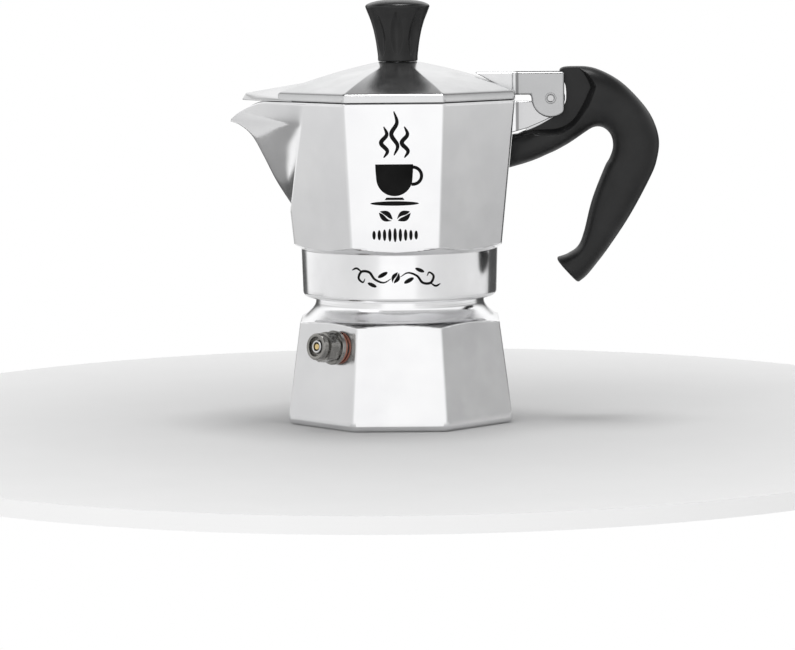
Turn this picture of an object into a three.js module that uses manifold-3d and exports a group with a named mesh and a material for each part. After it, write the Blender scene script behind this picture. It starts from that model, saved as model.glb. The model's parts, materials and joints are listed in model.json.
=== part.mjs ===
// Octagonal stovetop coffee pot: a boiler, a funnel and filter, and a jug with a hinged lid.
// Millimetres, +Z up. The origin is the centre of the boiler's foot; the spout points to -X and
// the handle to +X. Octagon sizes are corner radii, and the facets face 0, 45, 90 ... degrees.
import * as THREE from "three";
import { ConvexGeometry } from "three/addons/geometries/ConvexGeometry.js";
import { mergeVertices } from "three/addons/utils/BufferGeometryUtils.js";
import Module from "manifold-3d";

// ---- Driving dimensions ----
const seatGap = 0.1; // between pieces that rest on each other
const fitGap = 0.3; // between pieces that are cut to fit each other
const runGap = 0.08; // radial clearance of a turning or sliding fit

const boilerFlare = 3.6; // how much wider the octagon's corners are at the foot than at the shoulder
const boilerLedge = 3.66; // from the neck to the shoulder's facets
const boilerShoulderZ = 25.2;
const boilerWall = 2.4;
const boilerFloor = 2.6;
const boilerTwist = THREE.MathUtils.degToRad(1.65); // how far the screwed-down boiler stands round
const footRound = 1.5;

const neckR = 21.1;
const neckHeight = 12.8; // above the boiler's shoulder
const neckWall = 2.1;
const threadDepth = 0.5;
const threadPitch = 2.5;
const threadTurns = 2;
const threadGap = 0.3;

const funnelWall = 0.8;
const basketDepth = 14;
const spoutTubeR = 3.2;
const spoutTubeClear = 2.6; // between the tube's end and the boiler's floor
const gasketThickness = 3;
const gasketWidth = 3.4;
const plateThickness = 0.7;
const plateRise = 0.5; // of the plate's middle above its edge

const skirtWall = 2.75;
const skirtTaper = 0.3;
const skirtOverlap = 6.9; // how far the skirt comes down over the neck
const jugStep = 1.18; // from the skirt to the jug's facets
const jugFlare = 3.7; // how much wider the octagon's corners are at the rim than at the bottom
const jugHeight = 34.9;
const jugWall = 2.2;
const jugFloor = 3.6;

const columnHeight = 20.8;
const columnBoreR = 2.2;
const columnWall = 1.2;
const columnFootWall = 0.9; // where the column is pressed into the jug's floor

const spoutRise = 8.7; // from the jug's lower edge to the spout's lowest point
const spoutTipReach = 13.7; // from the jug's top facet to the spout's tip
const spoutTipDrop = 5; // from the jug's rim to the spout's tip
const spoutWall = 1.9;

const lidGap = 0.1;
const lidBand = 2;
const lidRise = 7.2;
const lidWall = 1.6;
const crownR = 5;

const pinOut = 8.8; // from the lid's edge to the hinge pin
const pinR = 1;
const lugHalf = 2.4;
const earThickness = 1.9;
const earTop = 6.5; // above the pin
const earRear = 3.4; // behind the pin
const earRound = 4.75;
const tabOverlap = 0.9; // of the lid's tab and each ear, sideways

const handleHalf = 5.8;
const screwR = 1;

const knobHeight = 15.4;
const knobRimR = 8;
const knobWaistR = 4.95;
const knobScrewR = 1.6;

const valveZ = 20.1;
const valveOffset = 4; // from the facet's middle towards the front
const valveFlangeR = 4.2;
const valveNoseR = 3.3;
const valveNoseLength = 2;
const valveShankR = 2.9;
const valveBoreR = 1.7;
const valveStandOut = 7.6;
const valveCapLength = 2.1;
const plungerStemR = 0.75;

// ---- Values worked out from the driving dimensions ----
const SIDES = 8;
const facetOf = Math.cos(Math.PI / SIDES); // corner radius to facet distance
const ROUND = 48;
const neckTopZ = boilerShoulderZ + neckHeight;
const rimZ = neckTopZ + seatGap;
const gasketZ = rimZ + funnelWall + seatGap;
const gasketTopZ = gasketZ + gasketThickness;
const plateZ = gasketTopZ + seatGap;
const threadRootR = neckR - threadDepth - 0.2;
const threadCrestR = threadRootR + threadDepth;
const skirtBoreR = threadCrestR + threadGap + threadDepth + 0.15;
const skirtR = skirtBoreR + skirtWall;
const skirtLowR = skirtR - skirtTaper;
const skirtGroundZ = neckTopZ - skirtOverlap;
const skirtTopZ = plateZ + 1.1;
const gasketR = threadCrestR - 0.05;
const plateR = gasketR - 1.9;
const boilerShoulderR = (neckR + boilerLedge) / facetOf;
const boilerFootR = boilerShoulderR + boilerFlare;
const jugLowR = (skirtR + jugStep) / facetOf;
const jugTopR = jugLowR + jugFlare;
const jugLowZ = skirtTopZ + 2.1;
const jugTopZ = jugLowZ + jugHeight;
const jugCeilingZ = plateZ + plateThickness + plateRise + seatGap;
const jugFloorTopZ = jugCeilingZ + jugFloor;
const columnTopZ = jugFloorTopZ + columnHeight;
const spoutStartZ = jugLowZ + spoutRise;
const lidBottomZ = jugTopZ + lidGap;
const lidEdgeZ = lidBottomZ + lidBand;
const crownZ = lidEdgeZ + lidRise;
const pin = new THREE.Vector2(jugTopR * facetOf + pinOut, jugTopZ);
const earInner = lugHalf + fitGap;
const earOuter = earInner + earThickness;

// Corner radius of the jug's outside and of the boiler's outside at a height.
function jugR(z) {
  return jugLowR + ((jugTopR - jugLowR) * (z - jugLowZ)) / (jugTopZ - jugLowZ);
}
function boilerR(z) {
  return boilerFootR + ((boilerShoulderR - boilerFootR) * z) / boilerShoulderZ;
}

// ---- Solids ----
const wasm = await Module();
wasm.setup();

function solid(geometry) {
  const bare = geometry.index ? geometry.toNonIndexed() : geometry.clone();
  for (const name of Object.keys(bare.attributes)) {
    if (name !== "position") bare.deleteAttribute(name);
  }
  const merged = mergeVertices(bare, 1e-4);
  const corners = merged.index.array;
  const triVerts = [];
  for (let i = 0; i < corners.length; i += 3) {
    const [a, b, c] = [corners[i], corners[i + 1], corners[i + 2]];
    if (a !== b && b !== c && c !== a) triVerts.push(a, b, c);
  }
  const vertProperties = merged.attributes.position.array;
  const mesh = new wasm.Mesh({ numProp: 3, vertProperties, triVerts: new Uint32Array(triVerts) });
  return new wasm.Manifold(mesh);
}

// A solid of revolution about Z from a closed outline of [radius, height] points.
function turned(outline, sides = ROUND) {
  const start = sides === SIDES ? Math.PI / SIDES : 0;
  const points = outline.map(([r, z]) => new THREE.Vector2(r, z));
  if (THREE.ShapeUtils.area(points) < 0) points.reverse();
  points.push(points[0].clone());
  return solid(new THREE.LatheGeometry(points, sides, start).rotateX(Math.PI / 2));
}
function disc(radius, low, high, sides = ROUND) {
  return turned([[0, low], [radius, low], [radius, high], [0, high]], sides);
}
function ring(outer, inner, low, high, sides = ROUND) {
  return turned([[inner, low], [outer, low], [outer, high], [inner, high]], sides);
}

// An outline in the XZ plane, made into a plate that is centred on Y = 0.
function plate(outline, half) {
  const shape = new THREE.Shape(outline.map(([x, z]) => new THREE.Vector2(x, z)));
  const options = { depth: 2 * half, bevelEnabled: false };
  return solid(new THREE.ExtrudeGeometry(shape, options).rotateX(Math.PI / 2).translate(0, half, 0));
}
function block(low, high) {
  const size = high.map((value, i) => value - low[i]);
  return solid(new THREE.BoxGeometry(...size).translate(...low.map((value, i) => value + size[i] / 2)));
}
function hull(points) {
  return solid(new ConvexGeometry(points.map((p) => new THREE.Vector3(...p))));
}
function rod(radius, from, to, sides = 16) {
  const [a, b] = [new THREE.Vector3(...from), new THREE.Vector3(...to)];
  const along = b.clone().sub(a);
  const up = new THREE.Vector3(0, 1, 0);
  const turn = new THREE.Quaternion().setFromUnitVectors(up, along.clone().normalize());
  const middle = a.clone().add(b).multiplyScalar(0.5);
  const shape = new THREE.CylinderGeometry(radius, radius, along.length(), sides);
  return solid(shape.applyQuaternion(turn).translate(...middle));
}

class Helix extends THREE.Curve {
  constructor(radius, pitch, turns, low) {
    super();
    Object.assign(this, { radius, pitch, turns, low });
  }
  getPoint(t, target = new THREE.Vector3()) {
    const angle = 2 * Math.PI * this.turns * t;
    const height = this.low + this.pitch * this.turns * t;
    return target.set(this.radius * Math.cos(angle), this.radius * Math.sin(angle), height);
  }
}
// A round bar wound along a helix: a thread's ridge when it is half sunk in a wall, or a spring.
function coil(radius, barR, pitch, turns, low, sides, stepsPerTurn) {
  const corners = [];
  for (let i = 0; i < sides; i++) {
    const angle = (2 * Math.PI * (i + 0.5)) / sides;
    corners.push(new THREE.Vector2(barR * Math.cos(angle), barR * Math.sin(angle)));
  }
  const extrudePath = new Helix(radius, pitch, turns, low);
  const steps = Math.round(turns * stepsPerTurn);
  const options = { steps, bevelEnabled: false, extrudePath };
  return solid(new THREE.ExtrudeGeometry(new THREE.Shape(corners), options));
}

// Holes on rings about Z: one in the middle, then six more on each ring.
function drillPattern(rings, spacing, holeR, low, high) {
  let drills = disc(holeR, low, high, 6);
  for (let k = 1; k <= rings; k++) {
    for (let i = 0; i < 6 * k; i++) {
      const hole = disc(holeR, low, high, 6).translate(k * spacing, 0, 0);
      drills = drills.add(hole.rotate([0, 0, (60 * i) / k]));
    }
  }
  return drills;
}

// ---- Boiler ----
const valveSlope = Math.atan(((boilerFootR - boilerShoulderR) * facetOf) / boilerShoulderZ);
const valveTurn = THREE.MathUtils.degToRad(-135);
const outward = new THREE.Vector3(Math.cos(valveTurn), Math.sin(valveTurn), 0);
const valveAxis = outward.clone().multiplyScalar(Math.cos(valveSlope)).setZ(Math.sin(valveSlope));
const valvePlace = outward.clone().multiplyScalar(boilerR(valveZ) * facetOf);
valvePlace.addScaledVector(new THREE.Vector3(-outward.y, outward.x, 0), valveOffset).setZ(valveZ);
const valveRotation = new THREE.Quaternion().setFromUnitVectors(new THREE.Vector3(0, 0, 1), valveAxis);

function makeBoiler() {
  const foot = footRound;
  const outside = turned([
    [0, 0], [boilerFootR - foot, 0], [boilerFootR - 0.3 * foot, 0.3 * foot], [boilerR(foot), foot],
    [boilerR(neckTopZ), neckTopZ], [0, neckTopZ],
  ], SIDES);
  const reach = boilerFootR + 2;
  const shoulder = turned([
    [0, 0], [reach, 0], [reach, boilerShoulderZ - 1.1], [boilerShoulderR, boilerShoulderZ],
    [neckR + 3.15, boilerShoulderZ + 0.9], [neckR + 1.9, boilerShoulderZ + 1.8],
    [neckR + 0.65, boilerShoulderZ + 3], [neckR, boilerShoulderZ + 4.4],
    [neckR, skirtGroundZ - 0.2], [threadRootR, skirtGroundZ + 0.5],
    [threadRootR, neckTopZ - 0.4], [threadRootR - 0.4, neckTopZ], [0, neckTopZ],
  ]);
  const thread = coil(threadRootR, threadDepth, threadPitch, threadTurns, skirtGroundZ + 1, 6, 20);
  const inner = (z) => boilerR(z) * facetOf - boilerWall;
  const boreR = threadRootR - neckWall;
  const inside = turned([
    [0, boilerFloor], [inner(0) - 1.5, boilerFloor], [inner(0) - 0.2, boilerFloor + 1.2],
    [inner(boilerShoulderZ), boilerShoulderZ - 2.6], [boreR, boilerShoulderZ + 2.4],
    [boreR, neckTopZ + 1], [0, neckTopZ + 1],
  ]);
  const depth = boilerWall * 3;
  const along = (distance) => valvePlace.clone().addScaledVector(valveAxis, distance).toArray();
  const valveHole = rod(valveShankR + fitGap, along(-depth), along(depth));
  return outside.intersect(shoulder).add(thread).subtract(inside).subtract(valveHole);
}

// ---- Safety valve, built with its axis along Z and the boiler's facet at Z = 0 ----
const washerTop = 0.9;
const flangeTop = 2.1;
const hexTop = valveStandOut - valveNoseLength;
const shankEnd = -boilerWall - 1.6;
const seatTop = shankEnd + 1;
const poppetTop = seatTop + 0.3 + 1.2;

function makeValveBody() {
  const outside = disc(valveShankR, shankEnd, washerTop, 20)
    .add(disc(valveFlangeR, washerTop, flangeTop, 28))
    .add(disc(valveNoseR + 0.7, flangeTop - 0.1, hexTop, 6))
    .add(turned([[0, hexTop - 0.1], [valveNoseR, hexTop - 0.1], [valveNoseR, valveStandOut - 0.4],
      [valveNoseR - 0.4, valveStandOut], [0, valveStandOut]], 28));
  const bore = disc(valveBoreR, seatTop, valveStandOut - 1, 20);
  const face = disc(valveNoseR - 0.9, valveStandOut - 1.1, valveStandOut + 1, 24);
  return outside.subtract(bore).subtract(face).subtract(disc(1.2, shankEnd - 1, seatTop + 1, 16));
}
function makeValveWasher() {
  return ring(valveFlangeR - 0.3, valveShankR + fitGap, fitGap, washerTop - seatGap, 28);
}
function makeValveRetainer() {
  const outer = valveBoreR - runGap;
  const top = valveStandOut - 0.3;
  return ring(outer, plungerStemR + 0.3, top - valveCapLength, top, 20);
}
function makeValvePlunger() {
  const poppet = disc(valveBoreR - 2 * runGap, seatTop + 0.3, poppetTop, 20);
  return poppet.add(disc(plungerStemR, poppetTop - 0.1, valveStandOut - 0.5, 12));
}
function makeValveSpring() {
  const low = poppetTop + 0.45;
  const high = valveStandOut - 0.3 - valveCapLength - 0.45;
  const turns = 4;
  return coil(valveBoreR - 0.5, 0.25, (high - low) / turns, turns, low, 6, 12);
}

// ---- Funnel and filter ----
const basketR = threadRootR - neckWall - fitGap;
const basketFloorZ = rimZ - basketDepth;
function makeFunnel() {
  const wall = funnelWall;
  const end = boilerFloor + spoutTubeClear;
  const coneZ = basketFloorZ - 7;
  const inner = basketR - wall;
  return turned([
    [spoutTubeR, end], [spoutTubeR, coneZ], [basketR, basketFloorZ], [basketR, rimZ],
    [threadRootR - 0.3, rimZ], [threadRootR - 0.3, rimZ + wall], [inner, rimZ + wall],
    [inner, basketFloorZ + 0.6], [inner - 1.2, basketFloorZ + 0.3], [spoutTubeR - wall, coneZ + 0.4],
    [spoutTubeR - wall, end],
  ], 40);
}
function makeFunnelSieve() {
  const low = basketFloorZ + 0.6 + seatGap;
  const sieve = disc(basketR - funnelWall - fitGap, low, low + 0.6, 40);
  return sieve.subtract(drillPattern(2, basketR * 0.3, 1, low - 1, low + 2));
}
function makeGasket() {
  return ring(gasketR, gasketR - gasketWidth, gasketZ, gasketTopZ);
}
function makeFilterPlate() {
  const rise = plateRise;
  const inset = gasketWidth + 0.6;
  const plateSolid = turned([
    [0, plateZ + rise], [plateR - inset, plateZ + rise], [plateR - inset + 1, plateZ], [plateR, plateZ],
    [plateR, plateZ + plateThickness], [plateR - inset + 1, plateZ + plateThickness],
    [plateR - inset, plateZ + rise + plateThickness], [0, plateZ + rise + plateThickness],
  ], 32);
  return plateSolid.subtract(drillPattern(2, plateR * 0.3, 0.9, plateZ - 1, plateZ + 3));
}

// ---- Jug ----
const facetX = (z) => jugR(z) * facetOf;
// The spout's keel from the jug's facet out to the tip, as [outward reach share, height share].
const keelShares = [[0, 0], [0.28, 0.283], [0.46, 0.52], [0.63, 0.74], [0.78, 0.91], [1, 1]];
const spoutTipX = facetX(jugTopZ) + spoutTipReach;
const spoutTipZ = jugTopZ - spoutTipDrop;
const keel = keelShares.map(([out, up]) => [
  facetX(spoutStartZ) + out * (spoutTipX - facetX(spoutStartZ)),
  spoutStartZ + up * (spoutTipZ - spoutStartZ),
]);
keel.push([spoutTipX + 4, jugTopZ + 1]);

// Horizontal triangles along the keel, joined level by level; inset moves every side inwards.
function spoutWedge(inset) {
  const levels = keel.map(([x, z]) => {
    const share = (z - spoutStartZ) / (jugTopZ - spoutStartZ);
    const creaseX = jugR(z) * facetOf * (0.985 - 0.175 * share);
    const creaseY = jugR(z) * facetOf * Math.SQRT2 - creaseX;
    const inward = creaseX - 6;
    const wide = Math.max(creaseY + (6 * creaseY) / (x - creaseX + 6) * 0.5 - inset * 1.35, 1);
    return [[-(x - inset * 1.3), 0, z], [-inward, wide, z], [-inward, -wide, z]];
  });
  let wedge = null;
  for (let i = 1; i < levels.length; i++) {
    const slab = hull([...levels[i - 1], ...levels[i]]);
    wedge = wedge ? wedge.add(slab) : slab;
  }
  return wedge;
}
// What lies under the spout's rim, which curves down from the jug's rim to the tip.
function underRim() {
  const back = facetX(jugTopZ);
  const drop = (share) => jugTopZ - spoutTipDrop * share;
  return plate([
    [0, 0], [0, jugTopZ], [-(back + 4), jugTopZ], [-(back + 7), drop(0.16)],
    [-(back + 10.2), drop(0.46)], [-spoutTipX, drop(1)], [-(spoutTipX + 0.4), drop(1.3)],
    [-(spoutTipX + 0.4), 0],
  ], 2 * jugTopR);
}
function octagon(radiusAt, low, high) {
  return turned([[0, low], [radiusAt(low), low], [radiusAt(high), high], [0, high]], SIDES);
}

// The casting that stands out from the jug under the lid's ears and carries the hinge pin.
const lugFrontX = facetX(jugTopZ - 6) + 1;
const lugUnder = [[-8.5, -8.6], [-5.7, -7.4], [-1.5, -5.6], [1, -4.2], [2.6, -2.5]];
const lugRound = 3.6;
const tongueHalf = 1.4;
function arc(centre, radius, from, to, steps) {
  const points = [];
  for (let i = 0; i <= steps; i++) {
    const angle = THREE.MathUtils.degToRad(from + ((to - from) * i) / steps);
    points.push([centre[0] + radius * Math.cos(angle), centre[1] + radius * Math.sin(angle)]);
  }
  return points;
}
const fromPin = ([x, z]) => [pin.x + x, pin.y + z];
function makeLug() {
  const outline = [
    [lugFrontX - 0.4, pin.y - 8.6], ...lugUnder.slice(1).map(fromPin),
    ...arc([pin.x, pin.y], lugRound, -35, 180, 9),
    [pin.x - 4.4, jugTopZ - 0.8], [lugFrontX, jugTopZ - 0.8],
  ];
  const root = plate([
    [facetX(jugTopZ) - jugWall, jugTopZ - 8.2], [lugFrontX + 1, jugTopZ - 7.6],
    [lugFrontX + 1, jugTopZ - 1.2], [facetX(jugTopZ) - jugWall, jugTopZ - 1.2],
  ], tongueHalf);
  const tongue = plate([[-6.2, -11], [1.2, -8.6], [1.2, -4.4], [-6.2, -7]].map(fromPin), tongueHalf);
  return plate(outline, lugHalf).add(root).add(tongue);
}

const columnLowZ = jugFloorTopZ - 2.1;
function makeJug() {
  const chamfer = turned([
    [0, skirtTopZ - 2], [skirtR, skirtTopZ - 2], [skirtR, skirtTopZ], [jugLowR * facetOf, skirtTopZ + 0.9],
    [jugLowR + 5, skirtTopZ + 0.9 + 3.8], [jugTopR + 20, jugTopZ], [0, jugTopZ],
  ]);
  const cup = octagon(jugR, skirtTopZ - 1, jugTopZ).intersect(chamfer);
  const skirt = turned([
    [0, skirtGroundZ], [skirtLowR - 1.2, skirtGroundZ], [skirtLowR - 0.35, skirtGroundZ + 0.35],
    [skirtLowR, skirtGroundZ + 1.2], [skirtR, skirtTopZ], [0, skirtTopZ],
  ]);
  const spout = spoutWedge(0).intersect(underRim());
  const drill = rod(pinR + 0.01, [pin.x, -9, pin.y], [pin.x, 9, pin.y]);
  const outside = cup.add(skirt).add(spout).add(makeLug()).subtract(drill);

  const inset = jugWall / facetOf;
  const inside = octagon((z) => jugR(z) - inset, jugFloorTopZ, jugTopZ + 1);
  const keepFloor = block([-60, -60, jugFloorTopZ + 3], [facetX(jugTopZ) - jugWall, 60, jugTopZ + 2]);
  const channel = spoutWedge(spoutWall).intersect(keepFloor);
  const below = turned([
    [0, skirtGroundZ - 1], [skirtBoreR, skirtGroundZ - 1], [skirtBoreR, gasketZ], [gasketR + fitGap, gasketZ],
    [gasketR + fitGap, gasketTopZ + seatGap], [plateR + fitGap, gasketTopZ + seatGap],
    [plateR + fitGap, jugCeilingZ], [columnBoreR + 1, columnLowZ - 0.1], [0, columnLowZ - 0.1],
  ]);
  const grip = coil(skirtBoreR, threadDepth, threadPitch, threadTurns, skirtGroundZ + 1.3, 6, 20);
  const columnHoleR = columnBoreR + columnFootWall + runGap;
  const columnHole = disc(columnHoleR, jugFloorTopZ - jugFloor, jugFloorTopZ + 1, 24);
  const screwX = pin.x - 1;
  const screwHole = rod(screwR + 0.1, [screwX, 0, pin.y - 13], [screwX, 0, pin.y - 5]);
  return outside.subtract(inside).subtract(channel).subtract(below).add(grip.intersect(skirt))
    .subtract(columnHole).subtract(screwHole);
}

function makeColumn() {
  const wallR = columnBoreR + columnWall;
  const footR = columnBoreR + columnFootWall;
  const collarZ = jugFloorTopZ + seatGap;
  return turned([
    [columnBoreR, columnLowZ], [footR, columnLowZ], [footR, collarZ], [wallR + 1.9, collarZ],
    [wallR + 1.6, collarZ + 1.5], [wallR + 0.9, collarZ + 1.9], [wallR, columnTopZ],
    [columnBoreR, columnTopZ],
  ], 24);
}
function makeColumnCap() {
  const inner = columnBoreR + columnWall + 0.15;
  const outer = inner + 0.9;
  const low = columnTopZ - 2;
  const slotLow = columnTopZ + 0.5;
  const top = slotLow + 2.4;
  const cap = turned([
    [inner, low], [outer, low], [outer, top - 0.7], [outer - 1.2, top + 0.4], [0, top + 0.8],
    [0, top - 0.5], [inner, top - 0.5],
  ], 24);
  return cap.subtract(block([-9, -1.4, slotLow], [9, 1.4, slotLow + 1.5]));
}

// ---- Handle ----
// Points of the handle's two long curves, from the hinge pin.
const spine = [[2.3, 7], [6.2, 7.8], [11, 7.3], [16.7, 4.4], [21.3, 0.2], [25, -4.7], [27, -10.5],
  [25.8, -17.5], [19.7, -29.4], [8.7, -45]];
const toe = [[7.4, -46.3], [5.6, -46.2], [1.3, -40.6], [1.8, -39.8]];
const palm = [[3.9, -39.2], [7.1, -37], [9.2, -29.5], [11.4, -22.2], [14.8, -14.6], [15.4, -11],
  [13.6, -7.9], [10.8, -7.5], [5.3, -11.1], [-2.4, -14.9]];
const rootDrop = 17.2; // from the pin down to the end of the palm curve, beside the jug
function through(points, steps) {
  const curve = new THREE.SplineCurve(points.map((p) => new THREE.Vector2(...p)));
  return curve.getPoints(steps).map((p) => [p.x, p.y]);
}
function makeHandle() {
  const low = pin.y - rootDrop;
  const palmEnd = [facetX(low) + 3 * fitGap - pin.x, -rootDrop];
  const front = [[facetX(low) + fitGap, low + 0.2], [facetX(pin.y - 9.2) + fitGap, pin.y - 9.2]];
  const underLug = lugUnder.slice(1).map(([x, z]) => fromPin([x + 0.2, z - fitGap]));
  const beside = arc([pin.x, pin.y], lugRound + fitGap, -30, 20, 3);
  const outline = [
    ...through(spine, 44).map(fromPin), ...toe.map(fromPin),
    ...through([...palm, palmEnd], 44).map(fromPin),
    ...front, [lugFrontX - 0.2, pin.y - 9.2], ...underLug, ...beside,
  ];
  outline.reverse();
  const grip = plate(outline, handleHalf);
  const web = plate(outline, lugHalf);
  const ears = plate([
    ...arc([pin.x, pin.y], 11.2, 110, 0, 8), ...arc([pin.x, pin.y], 7.9, -10, -95, 6),
    [pin.x - 5.5, pin.y - 7.9], [pin.x - 11, pin.y - 9.2], [pin.x - 14, pin.y + 12],
  ], 2 * handleHalf);
  const slot = plate([[-7, -11.5], [1.6, -9.1], [1.6, -3], [-7, -3]].map(fromPin), tongueHalf + fitGap);
  const screwX = pin.x - 1;
  const bore = rod(screwR + 0.2, [screwX, 0, pin.y - 18], [screwX, 0, pin.y - 5]);
  const sink = rod(2.2, [screwX, 0, pin.y - 18], [screwX, 0, pin.y - 12.6]);
  return grip.subtract(ears).add(web).subtract(slot).subtract(bore).subtract(sink);
}
function makeHandleScrew() {
  const screwX = pin.x - 1;
  const head = rod(1.9, [screwX, 0, pin.y - 13.9], [screwX, 0, pin.y - 12.8]);
  const slot = block([screwX - 3, -0.3, pin.y - 15], [screwX + 3, 0.3, pin.y - 13.4]);
  return head.add(rod(screwR, [screwX, 0, pin.y - 13], [screwX, 0, pin.y - 5.6])).subtract(slot);
}
function makeHingePin() {
  return rod(pinR - 0.01, [pin.x, -earOuter + 0.15, pin.y], [pin.x, earOuter - 0.15, pin.y]);
}

// ---- Lid and knob ----
function makeBeak() {
  const edge = jugTopR * facetOf;
  const top = (x, y) => lidEdgeZ + 0.6 + 0.16 * (edge + 3.8 - x) - 0.2 * Math.abs(y);
  const plan = [
    [edge - 12, 0], [edge - 3.8, edge * 0.54], [edge + 6.2, edge * 0.226], [edge + 9.6, edge * 0.08],
  ];
  const points = [];
  for (const [x, y] of plan) {
    for (const side of [y, -y]) points.push([-x, side, lidBottomZ], [-x, side, top(x, y)]);
  }
  points.push([-(edge + 9.6), 0, top(edge + 9.6, 0)]);
  return hull(points);
}
function makeTabAndEars() {
  const rear = pin.x - pinOut;
  const top = pin.y + earTop;
  const earOutline = [
    [rear - 0.8, top], [rear - 0.8, pin.y + 0.9], [pin.x - 4.9, pin.y + 0.9],
    ...arc([pin.x, pin.y], earRound, 180, 315, 8), [pin.x + earRear, pin.y - 3], [pin.x + earRear, top],
  ];
  const slot = block([rear - 2, -earInner, pin.y - 9], [pin.x + 9, earInner, pin.y + 9]);
  const tab = plate([[rear - 10, top], [rear - 4, pin.y + 1.5], [rear, pin.y + 1.5], [rear, top]],
    earInner + tabOverlap);
  return plate(earOutline, earOuter).subtract(slot).add(tab);
}
function makeLid() {
  const midR = crownR + 0.5 * (jugTopR - crownR);
  const midZ = lidEdgeZ + 0.565 * lidRise;
  const dome = turned([
    [0, lidBottomZ], [jugTopR, lidBottomZ], [jugTopR, lidEdgeZ], [midR, midZ], [crownR, crownZ], [0, crownZ],
  ], SIDES);
  const hollow = turned([
    [0, lidBottomZ - 1], [jugTopR - 2, lidBottomZ - 1], [jugTopR - 2, lidEdgeZ - lidWall],
    [midR - 0.4, midZ - lidWall], [crownR, crownZ - lidWall], [0, crownZ - lidWall],
  ], SIDES);
  const screwHole = disc(knobScrewR + runGap + 0.2, crownZ - 5, crownZ + 5, 20);
  const drill = rod(pinR + runGap, [pin.x, -9, pin.y], [pin.x, 9, pin.y]);
  return dome.add(makeBeak()).add(makeTabAndEars()).subtract(hollow).subtract(screwHole).subtract(drill);
}
const insertR = 2.8;
const insertLength = 8;
// The knob's outline, from its waist to its rim, as [share of the widening, share of the height].
const knobShares = [[-0.1, 0], [0, 0.026], [0.115, 0.196], [0.26, 0.36], [0.425, 0.523], [0.64, 0.686],
  [0.95, 0.843], [1, 0.882], [0.87, 0.928], [-0.18, 0.984]];
function makeKnob() {
  const low = crownZ + seatGap;
  const top = crownZ + knobHeight;
  const side = knobShares.map(([out, up]) => [
    knobWaistR + out * (knobRimR - knobWaistR), low + up * (top - low),
  ]);
  const body = turned([[0, low], ...side, [0, top]], 24);
  let carved = body.subtract(disc(insertR + 0.1, low - 1, low + insertLength + 0.3, 20));
  const scoopHalf = 0.415 * (top - low);
  const scoop = solid(new THREE.SphereGeometry(1, 8, 6).scale(1.1, 1.6, scoopHalf).rotateY(0.17));
  for (let i = 0; i < 8; i++) {
    carved = carved.subtract(scoop.translate(knobWaistR + 1.65, 0, low + 6.6).rotate([0, 0, 45 * i]));
  }
  return carved;
}
function makeKnobInsert() {
  const low = crownZ + 2 * seatGap;
  return ring(insertR, knobScrewR + 0.1, low, low + insertLength - 0.2, 20);
}
const washerZ = crownZ - lidWall - seatGap - 0.6;
function makeKnobWasher() {
  return ring(3.9, knobScrewR + 0.2, washerZ, washerZ + 0.6, 24);
}
function makeKnobScrew() {
  const headTop = washerZ - seatGap;
  const head = turned([
    [0, headTop - 1.5], [2, headTop - 1.5], [3, headTop - 0.7], [3.1, headTop], [0, headTop],
  ], 20);
  const slot = block([-4, -0.35, headTop - 2], [4, 0.35, headTop - 0.9]);
  return head.add(disc(knobScrewR, headTop - 0.1, crownZ + insertLength - 0.6, 16)).subtract(slot);
}

// ---- Materials ----
function finish(color, roughness, metalness) {
  return new THREE.MeshStandardMaterial({ color, roughness, metalness });
}
const aluminium = finish(0xc9cacc, 0.22, 1);
const steel = finish(0xb4b6b8, 0.3, 1);
const darkSteel = finish(0x6e6c68, 0.35, 1);
const brass = finish(0xb9974e, 0.35, 1);
const bakelite = finish(0x1d1e1e, 0.55, 0);
const rubber = finish(0xe6e2d6, 0.8, 0);
const fibre = finish(0x9a3b2c, 0.85, 0);

// ---- The pot ----
const pot = new THREE.Group();
const lower = new THREE.Group();
lower.rotation.z = boilerTwist;
const valve = new THREE.Group();
valve.position.copy(valvePlace);
valve.quaternion.copy(valveRotation);
lower.add(valve);
pot.add(lower);

function put(group, name, shape, material) {
  const mesh = shape.getMesh();
  const geometry = new THREE.BufferGeometry();
  geometry.setAttribute("position", new THREE.BufferAttribute(mesh.vertProperties, mesh.numProp));
  geometry.setIndex(new THREE.BufferAttribute(mesh.triVerts, 1));
  const faceted = geometry.toNonIndexed();
  faceted.computeVertexNormals();
  const piece = new THREE.Mesh(faceted, material);
  piece.name = name;
  group.add(piece);
}

put(lower, "boiler", makeBoiler(), aluminium);
put(valve, "valve_body", makeValveBody(), darkSteel);
put(valve, "valve_washer", makeValveWasher(), fibre);
put(valve, "valve_retainer", makeValveRetainer(), steel);
put(valve, "valve_plunger", makeValvePlunger(), brass);
put(valve, "valve_spring", makeValveSpring(), steel);
put(pot, "funnel", makeFunnel(), aluminium);
put(pot, "funnel_sieve", makeFunnelSieve(), aluminium);
put(pot, "gasket", makeGasket(), rubber);
put(pot, "filter_plate", makeFilterPlate(), aluminium);
put(pot, "jug", makeJug(), aluminium);
put(pot, "column", makeColumn(), aluminium);
put(pot, "column_cap", makeColumnCap(), aluminium);
put(pot, "handle", makeHandle(), bakelite);
put(pot, "handle_screw", makeHandleScrew(), steel);
put(pot, "hinge_pin", makeHingePin(), steel);
put(pot, "lid", makeLid(), aluminium);
put(pot, "knob", makeKnob(), bakelite);
put(pot, "knob_insert", makeKnobInsert(), brass);
put(pot, "knob_washer", makeKnobWasher(), steel);
put(pot, "knob_screw", makeKnobScrew(), steel);

export default pot;
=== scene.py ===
"""Looks of a small octagonal moka pot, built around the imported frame.

Lengths are millimetres, with +Z up, the spout towards -X and the handle towards +X. Meshes are scaled to
metres when they are made."""
import json
import math

import bmesh
import bpy
import numpy as np
from mathutils import Matrix, Vector


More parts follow.
